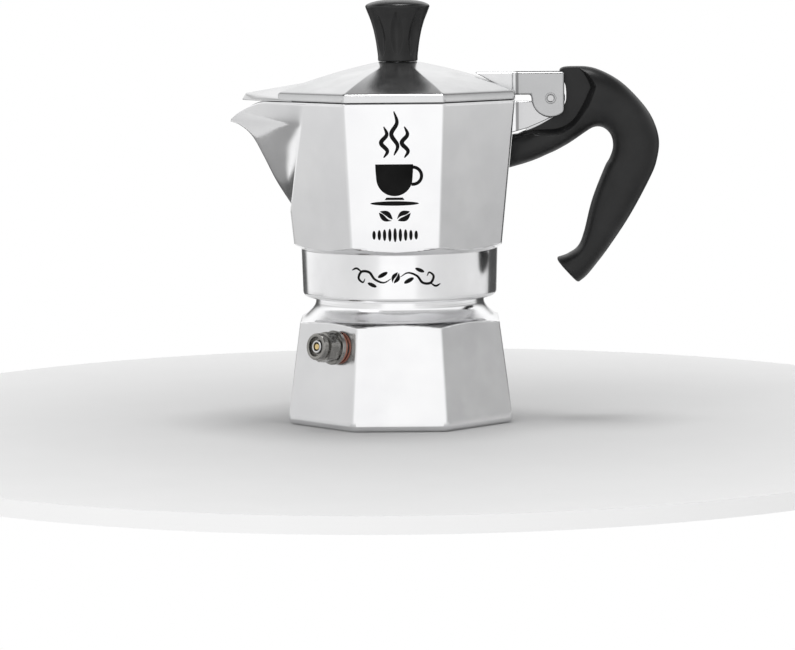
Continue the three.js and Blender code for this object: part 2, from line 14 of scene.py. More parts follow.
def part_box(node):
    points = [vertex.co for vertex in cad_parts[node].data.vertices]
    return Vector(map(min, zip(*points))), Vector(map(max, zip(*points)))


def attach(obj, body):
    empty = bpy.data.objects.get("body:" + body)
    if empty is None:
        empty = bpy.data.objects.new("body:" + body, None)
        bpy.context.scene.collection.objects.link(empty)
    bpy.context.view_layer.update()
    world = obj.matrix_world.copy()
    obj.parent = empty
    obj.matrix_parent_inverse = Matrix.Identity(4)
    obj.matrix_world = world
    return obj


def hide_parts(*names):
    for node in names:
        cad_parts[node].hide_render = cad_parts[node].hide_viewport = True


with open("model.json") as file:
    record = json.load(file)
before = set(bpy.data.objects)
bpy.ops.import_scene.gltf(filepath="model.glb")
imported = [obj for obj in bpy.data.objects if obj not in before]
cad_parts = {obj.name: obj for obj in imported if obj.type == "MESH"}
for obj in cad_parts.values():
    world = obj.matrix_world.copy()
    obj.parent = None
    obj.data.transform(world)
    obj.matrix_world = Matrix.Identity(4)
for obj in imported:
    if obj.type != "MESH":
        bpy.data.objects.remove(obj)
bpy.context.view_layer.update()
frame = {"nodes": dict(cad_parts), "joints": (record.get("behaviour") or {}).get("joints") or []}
MM = 0.001

# ---- Sizes, from the frame ----


def box_mm(node):
    low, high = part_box(node)
    return low / MM, high / MM


def joint_mm(name):
    joint = next(j for j in frame["joints"] if j["name"] == name)
    return Vector(joint["pos_m"]) / MM


EIGHTH = math.pi / 8
FLAT = math.cos(EIGHTH)                     # an octagon's corner radius to its facet distance
PIN = joint_mm("lid_hinge")                 # hinge pin, also the height of the jug's rim
RIM_Z = PIN.z
SPOUT_TIP = -box_mm("jug")[0].x             # reach of the spout's tip
JUG_TOP_R = box_mm("lid")[1].y / FLAT       # corner radius of the jug's rim and of the lid
CROWN_Z = box_mm("lid")[1].z
SKIRT_LOW_Z = box_mm("jug")[0].z
NECK_TOP_Z = box_mm("boiler")[1].z
KNOB_TOP_Z = box_mm("knob")[1].z
KNOB_LOW_Z = box_mm("knob")[0].z
GASKET_LOW, GASKET_HIGH = box_mm("gasket")
PLATE_HIGH = box_mm("filter_plate")[1]
FOOT_R = 30.4
SHOULDER_R, SHOULDER_Z = 26.8, 25.2
NECK_R = 21.1
BOILER_TWIST = math.radians(1.65)
JUG_LOW_R, JUG_LOW_Z = 27.9, 45.3
JUG_FLOOR_Z = 47.0
SKIRT_R, SKIRT_LOW_R, SKIRT_TOP_Z = 24.6, 24.3, 43.2
SKIRT_BORE_R = 21.85
THREAD_PITCH, THREAD_DEPTH = 2.5, 0.5
THREAD_ROOT_R = 20.4
WALL = 2.3
SPOUT_START_Z, SPOUT_TIP_DROP = 53.2, 5.0
LID_LOW_Z = RIM_Z + 0.1
LID_EDGE_Z = LID_LOW_Z + 2.0
CORNER_ROUND = 1.3


# ---- Mesh helpers ----


def link(name, vertices, faces):
    mesh = bpy.data.meshes.new(name)
    mesh.from_pydata([tuple(Vector(v) * MM) for v in vertices], [], faces)
    mesh.validate()
    obj = bpy.data.objects.new(name, mesh)
    bpy.context.scene.collection.objects.link(obj)
    return obj


def tidy(obj, sharp_degrees=28.0, merge=1e-6):
    """Merges doubles, turns the faces outwards, and shades smooth except over edges past the limit."""
    bm = bmesh.new()
    bm.from_mesh(obj.data)
    bmesh.ops.remove_doubles(bm, verts=bm.verts, dist=merge)
    bmesh.ops.dissolve_degenerate(bm, edges=bm.edges, dist=merge)
    bmesh.ops.recalc_face_normals(bm, faces=bm.faces)
    limit = math.radians(sharp_degrees)
    for face in bm.faces:
        face.smooth = True
    for edge in bm.edges:
        edge.smooth = not (len(edge.link_faces) == 2 and edge.calc_face_angle(0.0) > limit)
    bm.to_mesh(obj.data)
    bm.free()
    return obj


def weigh_normals(obj):
    weighted = obj.modifiers.new("normals", "WEIGHTED_NORMAL")
    weighted.keep_sharp = True
    weighted.weight = 60
    return obj


def applied(obj):
    """Applies every modifier of an object to its mesh."""
    bpy.context.view_layer.update()
    evaluated = obj.evaluated_get(bpy.context.evaluated_depsgraph_get())
    mesh = bpy.data.meshes.new_from_object(evaluated)
    obj.modifiers.clear()
    obj.data = mesh
    return obj


def combine(obj, other, operation):
    """Joins or cuts obj with other, and removes other."""
    boolean = obj.modifiers.new("combine", "BOOLEAN")
    boolean.operation = operation
    boolean.solver = "EXACT"
    boolean.object = other
    applied(obj)
    bpy.data.objects.remove(other)
    return obj


def revolve(name, rows, angles, closed=False):
    """A surface through rows of (radius, height), each a number or one value per angle.

    A closed surface joins its last row to its first; an open one starts and ends on the axis."""
    count = len(angles)
    cos, sin = np.cos(angles), np.sin(angles)
    vertices, starts = [], []
    for radius, height in rows:
        radius = np.broadcast_to(np.asarray(radius, float), count)
        height = np.broadcast_to(np.asarray(height, float), count)
        if np.allclose(radius, 0):
            starts.append((len(vertices), True))
            vertices.append((0.0, 0.0, float(height[0])))
        else:
            starts.append((len(vertices), False))
            vertices.extend(zip(radius * cos, radius * sin, height))
    faces = []
    pairs = list(zip(starts[:-1], starts[1:]))
    if closed:
        pairs.append((starts[-1], starts[0]))
    for (low, low_point), (high, high_point) in pairs:
        for i in range(count):
            j = (i + 1) % count
            if low_point and high_point:
                continue
            if low_point:
                faces.append((low, high + j, high + i))
            elif high_point:
                faces.append((low + i, low + j, high))
            else:
                faces.append((low + i, low + j, high + j, high + i))
    return tidy(link(name, vertices, faces))


def plate(name, outline, low_y, high_y, bevel=0.0, segments=3):
    """An XZ outline drawn out along Y, with its edges rounded over by bevel."""
    count = len(outline)
    vertices = [(x, low_y, z) for x, z in outline] + [(x, high_y, z) for x, z in outline]
    faces = [tuple(range(count)), tuple(range(2 * count - 1, count - 1, -1))]
    faces += [(i, i + count, (i + 1) % count + count, (i + 1) % count) for i in range(count)]
    obj = tidy(link(name, vertices, faces))
    if bevel:
        rounding = obj.modifiers.new("bevel", "BEVEL")
        rounding.width = bevel * MM
        rounding.segments = segments
        rounding.limit_method = "ANGLE"
        rounding.angle_limit = math.radians(35)
        applied(obj)
    return obj


def place(obj, matrix):
    obj.data.transform(matrix)
    return obj


def full_circle(count):
    return np.linspace(0, 2 * math.pi, count, endpoint=False)


def drill(obj, radius, low, high, where):
    """Cuts a round hole between two distances along an axis; where moves that axis from Z to its place."""
    hole = revolve("hole", [(0, low), (radius, low), (radius, high), (0, high)], full_circle(40))
    return combine(obj, place(hole, where), "DIFFERENCE")


def arc(centre, radius, start, end, steps):
    return [(centre[0] + radius * math.cos(math.radians(start + (end - start) * i / steps)),
             centre[1] + radius * math.sin(math.radians(start + (end - start) * i / steps)))
            for i in range(steps + 1)]


def spline(points, count):
    """A smooth curve through points: Catmull-Rom, evenly counted between points."""
    pts = [np.array(p, float) for p in points]
    pts = [2 * pts[0] - pts[1]] + pts + [2 * pts[-1] - pts[-2]]
    out = []
    spans = len(pts) - 3
    for k in range(count):
        t = spans * k / (count - 1)
        i = min(int(t), spans - 1)
        t -= i
        p0, p1, p2, p3 = pts[i:i + 4]
        out.append(0.5 * (2 * p1 + (p2 - p0) * t + (2 * p0 - 5 * p1 + 4 * p2 - p3) * t * t
                          + (3 * p1 - p0 - 3 * p2 + p3) * t ** 3))
    return np.array(out)


# ---- Octagons ----


def octagon(angles, corner_r, rounding):
    """Polar radius of an octagon with rounded corners; its facets face 0, 45, 90 ... degrees."""
    phi = np.abs((angles + EIGHTH) % (2 * EIGHTH) - EIGHTH)
    facet = np.asarray(corner_r) * FLAT
    rounding = np.minimum(rounding, facet * 0.98)
    centre = (facet - rounding) / FLAT
    psi = EIGHTH - phi
    corner = centre * np.cos(psi) + np.sqrt(np.maximum(rounding ** 2 - (centre * np.sin(psi)) ** 2, 0))
    turn = np.arctan((facet - rounding) * math.tan(EIGHTH) / facet)
    return np.where(phi < turn, facet / np.cos(phi), corner)


def octagon_angles(extra=()):
    """Angles that gather at the octagon's corners, where the rounding needs them."""
    flat = np.linspace(-20.9, 20.9, 15)
    corner = np.array([21.3, 21.6, 21.8, 22.0, 22.2, 22.35, 22.5])
    one = np.concatenate([-corner[::-1], flat, corner[:-1]])
    every = np.concatenate([one + 45 * k for k in range(8)] + [np.asarray(extra, float)])
    every = np.unique(np.round(every % 360, 3))
    keep = [every[0]]
    for value in every[1:]:
        if value - keep[-1] > 0.09:
            keep.append(value)
    return np.radians(np.array(keep))


def jug_r(z):
    return JUG_LOW_R + (JUG_TOP_R - JUG_LOW_R) * (z - JUG_LOW_Z) / (RIM_Z - JUG_LOW_Z)


def boiler_r(z):
    return FOOT_R + (SHOULDER_R - FOOT_R) * z / SHOULDER_Z


def thread(angles, z, root, depth, low, high):
    """Radius of a rounded right-hand screw thread at a height; the ridges fade in and out at its ends."""
    phase = (z / THREAD_PITCH - angles / (2 * math.pi)) % 1.0
    ridge = np.clip(np.cos((phase - 0.5) * 2 * math.pi) * 1.3, 0, 1) ** 0.8
    fade = np.clip(min(z - low, high - z) / 0.8, 0, 1)
    return root + depth * ridge * fade


# ---- Boiler ----


FLARE_BLEND = 0.12          # softens the edge where the facets meet the flare


def make_boiler():
    angles = octagon_angles()
    rows = [(0, 1.2), (octagon(angles, FOOT_R - 8, 4), 1.2), (octagon(angles, FOOT_R - 6.2, 3), 0.9),
            (octagon(angles, FOOT_R - 5.4, 3), 0.0), (octagon(angles, FOOT_R - 1.6, 1.6), 0.0)]
    for step in range(1, 7):
        turn = math.pi / 2 * step / 6
        radius = boiler_r(1.5) - 1.5 + 1.5 * math.sin(turn)
        rows.append((octagon(angles, radius, CORNER_ROUND), 1.5 - 1.5 * math.cos(turn)))
    for z in np.linspace(3, 24, 15):
        rows.append((octagon(angles, boiler_r(z), CORNER_ROUND), z))
    flare = spline([(33, 24.05), (29.5, 24.5), (26.8, 25.2), (24.3, 26.05), (23.0, 27.0), (21.75, 28.3),
                    (21.2, 29.3), (NECK_R, 30.2)], 90)
    for radius, z in flare:
        inside = octagon(angles, boiler_r(z), CORNER_ROUND)
        softening = 0.5 * FLARE_BLEND * np.exp(-np.abs(inside - radius) / FLARE_BLEND)
        rows.append((np.minimum(inside, radius) - softening, z))
    rows.append((NECK_R, SKIRT_LOW_Z - 0.2))
    rows.append((NECK_R - 0.3, SKIRT_LOW_Z + 0.1))
    low, high = SKIRT_LOW_Z + 0.4, NECK_TOP_Z - 0.6
    rows += [(thread(angles, z, THREAD_ROOT_R, THREAD_DEPTH, low, high), z)
             for z in np.arange(low, high, 0.16)]
    bore = THREAD_ROOT_R - 2.1
    rows += [(THREAD_ROOT_R, NECK_TOP_Z - 0.4), (THREAD_ROOT_R - 0.4, NECK_TOP_Z), (bore + 0.3, NECK_TOP_Z),
             (bore, NECK_TOP_Z - 0.3), (bore, SHOULDER_Z + 2.4), (boiler_r(20) * FLAT - 3, 21.0),
             (boiler_r(6) * FLAT - 2.5, 6.0), (boiler_r(4) * FLAT - 3.2, 3.6),
             (boiler_r(3) * FLAT - 5, 2.6), (0, 2.6)]
    boiler = revolve("boiler_casting", rows, angles)
    place(boiler, Matrix.Rotation(BOILER_TWIST, 4, "Z"))
    return drill(boiler, VALVE_HOLE_R, -8, 4, valve_frame())


# ---- Jug ----
# The spout's keel, from where it leaves the jug to its tip and past it, as shares of (reach, height).
KEEL = [(0.0, 0.0), (0.26, 0.31), (0.455, 0.6), (0.62, 0.82), (0.81, 0.945), (1.0, 1.0), (1.15, 1.08),
        (1.3, 1.2)]


KEEL_ROUND, SEAM_LEAN, SIDE_HOLLOW = 1.4, 0.246, 0.05
COLUMN_HOLE_R = 3.15


def keel_reach(z):
    start = jug_r(SPOUT_START_Z) * FLAT
    tip_z = RIM_Z - SPOUT_TIP_DROP
    ups = [SPOUT_START_Z + up * (tip_z - SPOUT_START_Z) for _, up in KEEL]
    outs = [start + out * (SPOUT_TIP - start) for out, _ in KEEL]
    curve = spline(list(zip(outs, ups)), 60)
    return float(np.interp(z, curve[:, 1], curve[:, 0]))


def spout_r(away, z):
    """Polar radius of the spout at an angle away from -X; 0 beyond its seams, which lean in as they rise."""
    if z <= SPOUT_START_Z:
        return np.zeros_like(away)
    share = (z - SPOUT_START_Z) / (RIM_Z - SPOUT_START_Z)
    facet = jug_r(z) * FLAT
    seam_x = facet * (1.0 - SEAM_LEAN * share)
    seam_y = facet * math.sqrt(2) - seam_x
    y = seam_y * np.linspace(0, 1, 60)
    rounded = (np.hypot(y, KEEL_ROUND) - KEEL_ROUND) / (math.hypot(seam_y, KEEL_ROUND) - KEEL_ROUND)
    x = keel_reach(z) + (seam_x - keel_reach(z)) * rounded
    hollow = SIDE_HOLLOW * 4 * (y / seam_y) * (1 - y / seam_y)
    x, y = x - hollow * seam_y, y - hollow * (keel_reach(z) - seam_x)
    bearing = np.arctan2(y, x)
    radius = np.interp(away, bearing, np.hypot(x, y))
    return np.where(away <= bearing[-1], radius, 0.0)


def rim_drop(x):
    """How far the spout's rim has dropped at a distance from the axis."""
    back = jug_r(RIM_Z) * FLAT
    reach = SPOUT_TIP - back
    share = np.clip((x - back - 3.6) / (reach - 3.6), 0, 1.2)
    return SPOUT_TIP_DROP * (0.3 * share + 0.7 * share ** 2)


def make_jug():
    fine = np.concatenate([np.arange(138, 222.01, 0.6), np.arange(177, 183.01, 0.35)])
    angles = octagon_angles(extra=fine)
    away = np.abs(angles - math.pi)

    def outside(z):
        spout = spout_r(away, z)
        return np.where(spout > 0, spout, octagon(angles, jug_r(z), CORNER_ROUND))

    def at_levels(levels, inset):
        """Radius for each angle at its own height."""
        table_z = np.linspace(JUG_LOW_Z, RIM_Z + 0.5, 100)
        table = np.array([outside(z) for z in table_z])
        return np.array([np.interp(z, table_z, table[:, i]) for i, z in enumerate(levels)]) - inset

    rim = np.full(len(angles), RIM_Z)
    for _ in range(40):
        radius = at_levels(rim, 0)
        rim = 0.5 * rim + 0.5 * np.where(away < 0.75, RIM_Z - rim_drop(radius * np.cos(away)), RIM_Z)

    bore_top = GASKET_LOW.z - 0.3
    rows = [(COLUMN_HOLE_R, 44.8), (COLUMN_HOLE_R + 0.3, 44.8), (PLATE_HIGH.x - 4, 43.45),
            (PLATE_HIGH.x + 0.3, 43.4), (PLATE_HIGH.x + 0.3, GASKET_HIGH.z + 0.1), (GASKET_HIGH.x + 0.3, GASKET_HIGH.z + 0.1),
            (GASKET_HIGH.x + 0.3, bore_top), (SKIRT_BORE_R, bore_top - 0.2)]
    for z in np.arange(bore_top - 0.3, SKIRT_LOW_Z + 0.5, -0.2):
        ridges = thread(angles, z, SKIRT_BORE_R, -THREAD_DEPTH, SKIRT_LOW_Z + 0.8, bore_top - 1.2)
        rows.append((ridges, z))
    lip = arc((SKIRT_LOW_R - 1.3, SKIRT_LOW_Z + 1.3), 1.3, -90, 0, 8)
    rows += [(SKIRT_BORE_R + 0.3, SKIRT_LOW_Z)] + lip
    rise = SKIRT_TOP_Z - SKIRT_LOW_Z - 1.6
    rows += [(SKIRT_LOW_R + (SKIRT_R - SKIRT_LOW_R) * s, SKIRT_LOW_Z + 1.3 + rise * s)
             for s in np.linspace(0.1, 1, 8)]
    under = spline([(SKIRT_R, SKIRT_TOP_Z - 0.2), (SKIRT_R + 0.12, SKIRT_TOP_Z), (25.5, 43.75), (26.8, 44.4),
                    (28.0, 45.05), (30.0, 46.2)], 40)
    rows += [(np.minimum(octagon(angles, jug_r(z), CORNER_ROUND), radius), z) for radius, z in under]
    bottom = 46.5
    for s in np.linspace(0, 1, 64) ** 0.9:
        levels = bottom + s * (rim - 0.35 - bottom)
        rows.append((at_levels(levels, 0), levels))
    for inset, drop in ((0.05, 0.18), (0.16, 0.06), (0.35, 0.0)):
        rows.append((at_levels(rim - 0.35, inset), rim - drop))
    radial = WALL / FLAT
    for inset, drop in ((radial - 0.35, 0.0), (radial - 0.1, 0.1), (radial, 0.35)):
        rows.append((at_levels(rim - 0.35, inset), rim - drop))
    floor_top = JUG_FLOOR_Z + 1.5
    for s in np.linspace(0.03, 1, 40):
        levels = rim - 0.35 + s * (floor_top - rim + 0.35)
        rows.append((at_levels(levels, radial), levels))
    for turn in np.linspace(0.2, 1, 5) * math.pi / 2:
        inset = radial + 1.5 * (1 - math.cos(turn))
        rows.append((at_levels(np.full(len(angles), floor_top), inset), floor_top - 1.5 * math.sin(turn)))
    rows += [(6.0, JUG_FLOOR_Z + 0.02), (COLUMN_HOLE_R, JUG_FLOOR_Z)]
    return revolve("jug_casting", rows, angles, closed=True)


def from_pin(points):
    return [(PIN.x + x, PIN.z + z) for x, z in points]


LUG_UNDER = [(-5.7, -7.4), (-1.5, -5.6), (1.0, -4.2), (2.6, -2.5)]
LUG_HALF = 2.4
LUG_ROUND = 3.6
TONGUE_HALF = 1.4
PIN_HOLE_R, SCREW_HOLE_R = 1.03, 1.1
AT_PIN = Matrix.Translation(PIN * MM)
AT_SCREW = Matrix.Translation(Vector((PIN.x - 1, 0, PIN.z)) * MM)


def add_lug(jug):
    front = jug_r(RIM_Z - 6) * FLAT + 1.0
    low, high = RIM_Z - 8.6, RIM_Z - 0.8
    outline = [(jug_r(low) * FLAT - 0.3, low)] + from_pin(LUG_UNDER)
    outline += arc((PIN.x, PIN.z), LUG_ROUND, -35, 180, 24)
    outline += [(PIN.x - 4.4, high), (jug_r(high) * FLAT - 0.3, high)]
    lug = plate("lug", outline, -LUG_HALF, LUG_HALF, bevel=0.3)
    inner = jug_r(RIM_Z) * FLAT - 1.6
    root = plate("root", [(inner, RIM_Z - 8.2), (front + 1, RIM_Z - 7.6), (front + 1, RIM_Z - 1.2),
                          (inner, RIM_Z - 1.2)], -TONGUE_HALF, TONGUE_HALF, bevel=0.2)
    tongue = plate("tongue", from_pin([(-6.2, -11), (1.2, -8.6), (1.2, -4.4), (-6.2, -7)]),
                   -TONGUE_HALF, TONGUE_HALF, bevel=0.2)
    combine(combine(lug, root, "UNION"), tongue, "UNION")
    drill(lug, PIN_HOLE_R, -9, 9, AT_PIN @ Matrix.Rotation(math.radians(90), 4, "X"))
    drill(lug, SCREW_HOLE_R, -13, -5, AT_SCREW)
    return tidy(combine(jug, lug, "UNION"))


# ---- Lid ----


KNOB_SCREW_HOLE_R = 1.88
LID_WALL = 1.6
BEAK_SLOPE = 0.7            # how far the beak's sides lean in


def lid_top(radius):
    out = radius - 5.0
    return CROWN_Z - 0.2 * out - 0.00266 * out * out


def make_lid():
    angles = octagon_angles()
    edge = JUG_TOP_R

    def dome(radius, below):
        rounding = 0.7 + (radius * FLAT - 0.7) * max(0.0, 1 - (radius - 5) / 9) ** 2
        return octagon(angles, radius, rounding), lid_top(radius) - below

    rows = [(KNOB_SCREW_HOLE_R, CROWN_Z), (4.4, CROWN_Z), (4.8, CROWN_Z - 0.02)]
    rows += [dome(radius, 0.0) for radius in np.linspace(5.2, edge - 0.5, 40)]
    top = lid_top(edge)
    band = [(0.18, top - 0.03), (0.03, top - 0.2), (0.0, top - 0.45), (0.0, LID_LOW_Z + 0.4),
            (0.1, LID_LOW_Z + 0.12), (0.35, LID_LOW_Z), (1.8, LID_LOW_Z), (2.0, LID_LOW_Z + 0.2)]
    rows += [(octagon(angles, edge - inset, 1.0), z) for inset, z in band]
    rows += [dome(radius, LID_WALL) for radius in np.linspace(edge - 2.3, 5.2, 24)]
    rows += [(4.6, CROWN_Z - LID_WALL), (KNOB_SCREW_HOLE_R, CROWN_Z - LID_WALL)]
    return revolve("lid_casting", rows, angles, closed=True)


def make_beak():
    edge = JUG_TOP_R * FLAT

    def top(x, y):
        return LID_EDGE_Z + 0.6 + 0.16 * (edge + 3.8 - x) - 0.2 * abs(y)
    plan = [(edge - 13, 0.0), (edge - 3.6, edge * 0.54), (edge + 6.2, edge * 0.226),
            (edge + 9.6, edge * 0.07)]
    vertices = []
    for x, y in plan:
        for side in ((1, -1) if y else (1,)):
            inset = BEAK_SLOPE if y else 0.0
            vertices += [(-x, side * y, LID_LOW_Z), (-x, side * y, LID_LOW_Z + 0.3),
                         (inset - x, side * (y - inset), top(x, y))]
    vertices += [(BEAK_SLOPE - x, 0, top(x, 0)) for x in (edge + 6.2, edge + 9.6)]
    bm = bmesh.new()
    for v in vertices:
        bm.verts.new(Vector(v) * MM)
    bmesh.ops.convex_hull(bm, input=bm.verts)
    loose = [v for v in bm.verts if not v.link_faces]
    bmesh.ops.delete(bm, geom=loose, context="VERTS")
    bmesh.ops.dissolve_limit(bm, angle_limit=math.radians(3), verts=bm.verts, edges=bm.edges)
    mesh = bpy.data.meshes.new("beak")
    bm.to_mesh(mesh)
    bm.free()
    beak = bpy.data.objects.new("beak", mesh)
    bpy.context.scene.collection.objects.link(beak)
    rounding = beak.modifiers.new("bevel", "BEVEL")
    rounding.width, rounding.segments = 0.45 * MM, 4
    rounding.limit_method, rounding.angle_limit = "ANGLE", math.radians(18)
    return tidy(applied(beak))


PIN_OUT = 8.8               # from the lid's edge to the hinge pin
EAR_IN, EAR_OUT = 2.7, 4.6
TAB_HALF = 3.6
EAR_TOP, EAR_REAR, EAR_ROUND = 6.5, 3.4, 4.75


def make_hinge():
    rear = PIN.x - PIN_OUT
    front = rear - 0.8
    outline = [(front, PIN.z + EAR_TOP), (front, PIN.z + 0.9), (PIN.x - 4.9, PIN.z + 0.9)]
    outline += arc((PIN.x, PIN.z), EAR_ROUND, 180, 315, 20)
    outline += [(PIN.x + EAR_REAR, PIN.z - 2.6), (PIN.x + EAR_REAR, PIN.z + EAR_TOP)]
    hinge = plate("hinge_block", outline, -EAR_OUT, EAR_OUT, bevel=0.75, segments=4)
    slot = plate("slot", [(rear - 2, PIN.z - 9), (PIN.x + 9, PIN.z - 9), (PIN.x + 9, PIN.z + 9),
                          (rear - 2, PIN.z + 9)], -EAR_IN, EAR_IN)
    combine(hinge, slot, "DIFFERENCE")
    tab = plate("tab", [(rear - 10, PIN.z + EAR_TOP), (rear - 4, PIN.z + 3.2), (rear - 1.4, PIN.z + 1.5),
                        (rear, PIN.z + 1.5), (rear, PIN.z + EAR_TOP)], -TAB_HALF, TAB_HALF, bevel=0.3)
    combine(hinge, tab, "UNION")
    for side in (-1, 1):
        rows = [(0, 3.4), (1.34, 3.4), (1.34, EAR_OUT - 0.1), (1.5, EAR_OUT + 0.2), (0, EAR_OUT + 0.2)]
        hole = revolve("hole", rows, full_circle(40))
        place(hole, Matrix.Rotation(math.radians(90 * -side), 4, "X"))
        place(hole, AT_PIN)
        combine(hinge, hole, "DIFFERENCE")
    return hinge


def join_lid():
    fittings = combine(make_hinge(), make_beak(), "UNION")
    return tidy(combine(make_lid(), fittings, "UNION"))


def make_pin():
    tip = EAR_OUT - 0.05
    edge = [(0, -tip), (0.75, -tip), (0.98, -tip + 0.22), (1.0, -tip + 0.4)]
    rows = edge + [(r, -z) for r, z in reversed(edge)]
    pin = revolve("hinge_rivet", rows, full_circle(40))
    place(pin, Matrix.Rotation(math.radians(90), 4, "X"))
    return place(pin, AT_PIN)


# ---- Handle ----
# The handle's back and inner curves, as pairs of points from the hinge pin, from the jug to the toe.
HANDLE_PAIRS = [
    ((-10.3, -9.3), (-11.2, -17.6)), ((-4.5, -7.4), (-5.3, -15.9)), ((0.4, -4.7), (-0.3, -13.9)),
    ((3.5, -1.2), (3.6, -11.9)), ((3.7, 3.0), (6.3, -10.2)), ((2.3, 7.1), (8.5, -8.7)),
    ((6.4, 7.8), (10.3, -7.6)), ((11.2, 7.2), (11.8, -7.3)), ((16.7, 4.4), (13.3, -7.7)),
    ((21.3, 0.2), (14.7, -9.0)), ((25.0, -4.7), (15.4, -10.8)), ((26.9, -10.3), (15.4, -12.9)),
    ((26.4, -15.6), (14.6, -15.2)), ((24.6, -20.3), (13.3, -17.6)), ((19.7, -29.4), (10.2, -25.6)),
    ((14.4, -37.4), (8.2, -33.5)), ((10.9, -42.0), (6.7, -37.1)), ((8.8, -44.5), (4.1, -39.0)),
    ((7.1, -45.9), (1.6, -39.9)),
]
HANDLE_HALF = 5.8
ROOT_NARROWING, ROOT_LENGTH = 0.26, 4.0
HANDLE_SIDES = 56
TOE_OUT = (-0.62, -0.78)    # the way the toe's end faces


def between_rings(a, b):
    """Faces that join two rings of the handle's section, which start at vertices a and b."""
    following = [(i + 1) % HANDLE_SIDES for i in range(HANDLE_SIDES)]
    return [(a + i, a + j, b + j, b + i) for i, j in enumerate(following)]


def make_handle():
    backs = spline([b for b, _ in HANDLE_PAIRS], 150)
    palms = spline([p for _, p in HANDLE_PAIRS], 150)
    vertices = []
    count = len(backs)
    for k in range(count):
        centre, reach = (backs[k] + palms[k]) / 2, (backs[k] - palms[k]) / 2
        from_root = math.dist(centre, (backs[0] + palms[0]) / 2)
        half = HANDLE_HALF * (1 - ROOT_NARROWING * max(0.0, 1 - from_root / ROOT_LENGTH) ** 2)
        for i in range(HANDLE_SIDES):
            turn = 2 * math.pi * i / HANDLE_SIDES
            c, s = math.cos(turn), math.sin(turn)
            square_in = abs(c) ** (2 / 2.5) * math.copysign(1, c)
            square_out = abs(s) ** (2 / 2.5) * math.copysign(1, s)
            along = reach * square_in
            vertices.append((PIN.x + centre[0] + along[0], half * square_out, PIN.z + centre[1] + along[1]))
    faces = []
    for k in range(count - 1):
        faces += between_rings(k * HANDLE_SIDES, (k + 1) * HANDLE_SIDES)
    faces.append(tuple(range(HANDLE_SIDES)))
    last = (count - 1) * HANDLE_SIDES
    centre, reach = (backs[-1] + palms[-1]) / 2, (backs[-1] - palms[-1]) / 2
    previous = last
    for shrink, push in ((0.985, 0.16), (0.94, 0.38), (0.87, 0.5)):
        base = len(vertices)
        for i in range(HANDLE_SIDES):
            x, y, z = vertices[last + i]
            cx, cz = PIN.x + centre[0], PIN.z + centre[1]
            vertices.append((cx + (x - cx) * shrink + TOE_OUT[0] * push, y * shrink,
                             cz + (z - cz) * shrink + TOE_OUT[1] * push))
        faces += between_rings(previous, base)
        previous = base
    faces.append(tuple(range(previous + HANDLE_SIDES - 1, previous - 1, -1)))
    handle = tidy(link("handle_grip", vertices, faces), 40)
    return carve_handle(handle)


def flared(name, outline_xz, inner_y, outer_y, flare):
    """A cutter whose outline grows away from the hinge pin between its inner and outer sides."""
    steps = 6
    count = len(outline_xz)
    vertices = []
    for k in range(steps + 1):
        share = k / steps
        for x, z in outline_xz:
            away = Vector((x - PIN.x, 0, z - PIN.z))
            away.length += flare * share ** 1.5
            vertices.append((PIN.x + away.x, inner_y + (outer_y - inner_y) * share, PIN.z + away.z))
    faces = [tuple(range(count)), tuple(reversed(range(steps * count, (steps + 1) * count)))]
    for k in range(steps):
        for i in range(count):
            j = (i + 1) % count
            faces.append((k * count + i, (k + 1) * count + i, (k + 1) * count + j, k * count + j))
    return tidy(link(name, vertices, faces), 30)


def carve_handle(handle):
    """Thins the handle beside the lid's ears, and cuts the slot for the jug's tongue and the screw's hole."""
    pin = (PIN.x, PIN.z)
    recess = arc(pin, 10.2, 118, 14, 20) + from_pin([(9.3, 1.2), (8.6, -0.4), (7.9, -1.8), (7.3, -2.9)])
    recess += arc(pin, 7.75, -28, -88, 12) + from_pin([(-4.4, -7.9), (-8, -9.1), (-16, -10.2), (-16, 12)])
    for side in (-1, 1):
        cutter = flared("recess", recess, side * LUG_HALF, side * 6.4, 2.0)
        combine(handle, cutter, "DIFFERENCE")
    seat = from_pin([(-16, -9.0), (-8.3, -9.0)] + [(x + 0.2, z - 0.3) for x, z in LUG_UNDER])
    seat += arc(pin, 3.9, -30, 90, 12) + from_pin([(0, 12), (-16, 12)])
    combine(handle, plate("lug_seat", seat, -9, 9), "DIFFERENCE")
    side = [(jug_r(z) * FLAT + 0.1, z) for z in (PIN.z - 20, PIN.z - 8)]
    side += [(PIN.x - 20, PIN.z - 8), (PIN.x - 20, PIN.z - 20)]
    combine(handle, plate("jug_side", side, -9, 9), "DIFFERENCE")
    slot = plate("slot", from_pin([(-7, -11.5), (1.6, -9.1), (1.6, -3), (-7, -3)]), -1.7, 1.7)
    combine(handle, slot, "DIFFERENCE")
    rounding = handle.modifiers.new("bevel", "BEVEL")
    rounding.width, rounding.segments = 0.25 * MM, 2
    rounding.limit_method, rounding.angle_limit = "ANGLE", math.radians(45)
    applied(handle)
    rows = [(0, -19), (2.2, -19), (2.2, -12.6), (1.25, -12.6), (1.25, -4), (0, -4)]
    sink = place(revolve("sink", rows, full_circle(32)), AT_SCREW)
    combine(handle, sink, "DIFFERENCE")
    return tidy(handle, 40)


def make_handle_screw():
    rows = [(0, -13.35), (1.2, -13.35), (1.65, -13.15), (1.8, -12.8), (1.0, -12.78), (1.0, -5.65), (0, -5.65)]
    screw = revolve("handle_bolt", rows, full_circle(32))
    slot = plate("slot", [(-3, -14), (3, -14), (3, -12.95), (-3, -12.95)], -0.3, 0.3)
    combine(screw, slot, "DIFFERENCE")
    return place(tidy(screw), AT_SCREW)


# ---- Knob ----
KNOB_BORE_R, KNOB_BORE_DEPTH = 2.9, 8.3


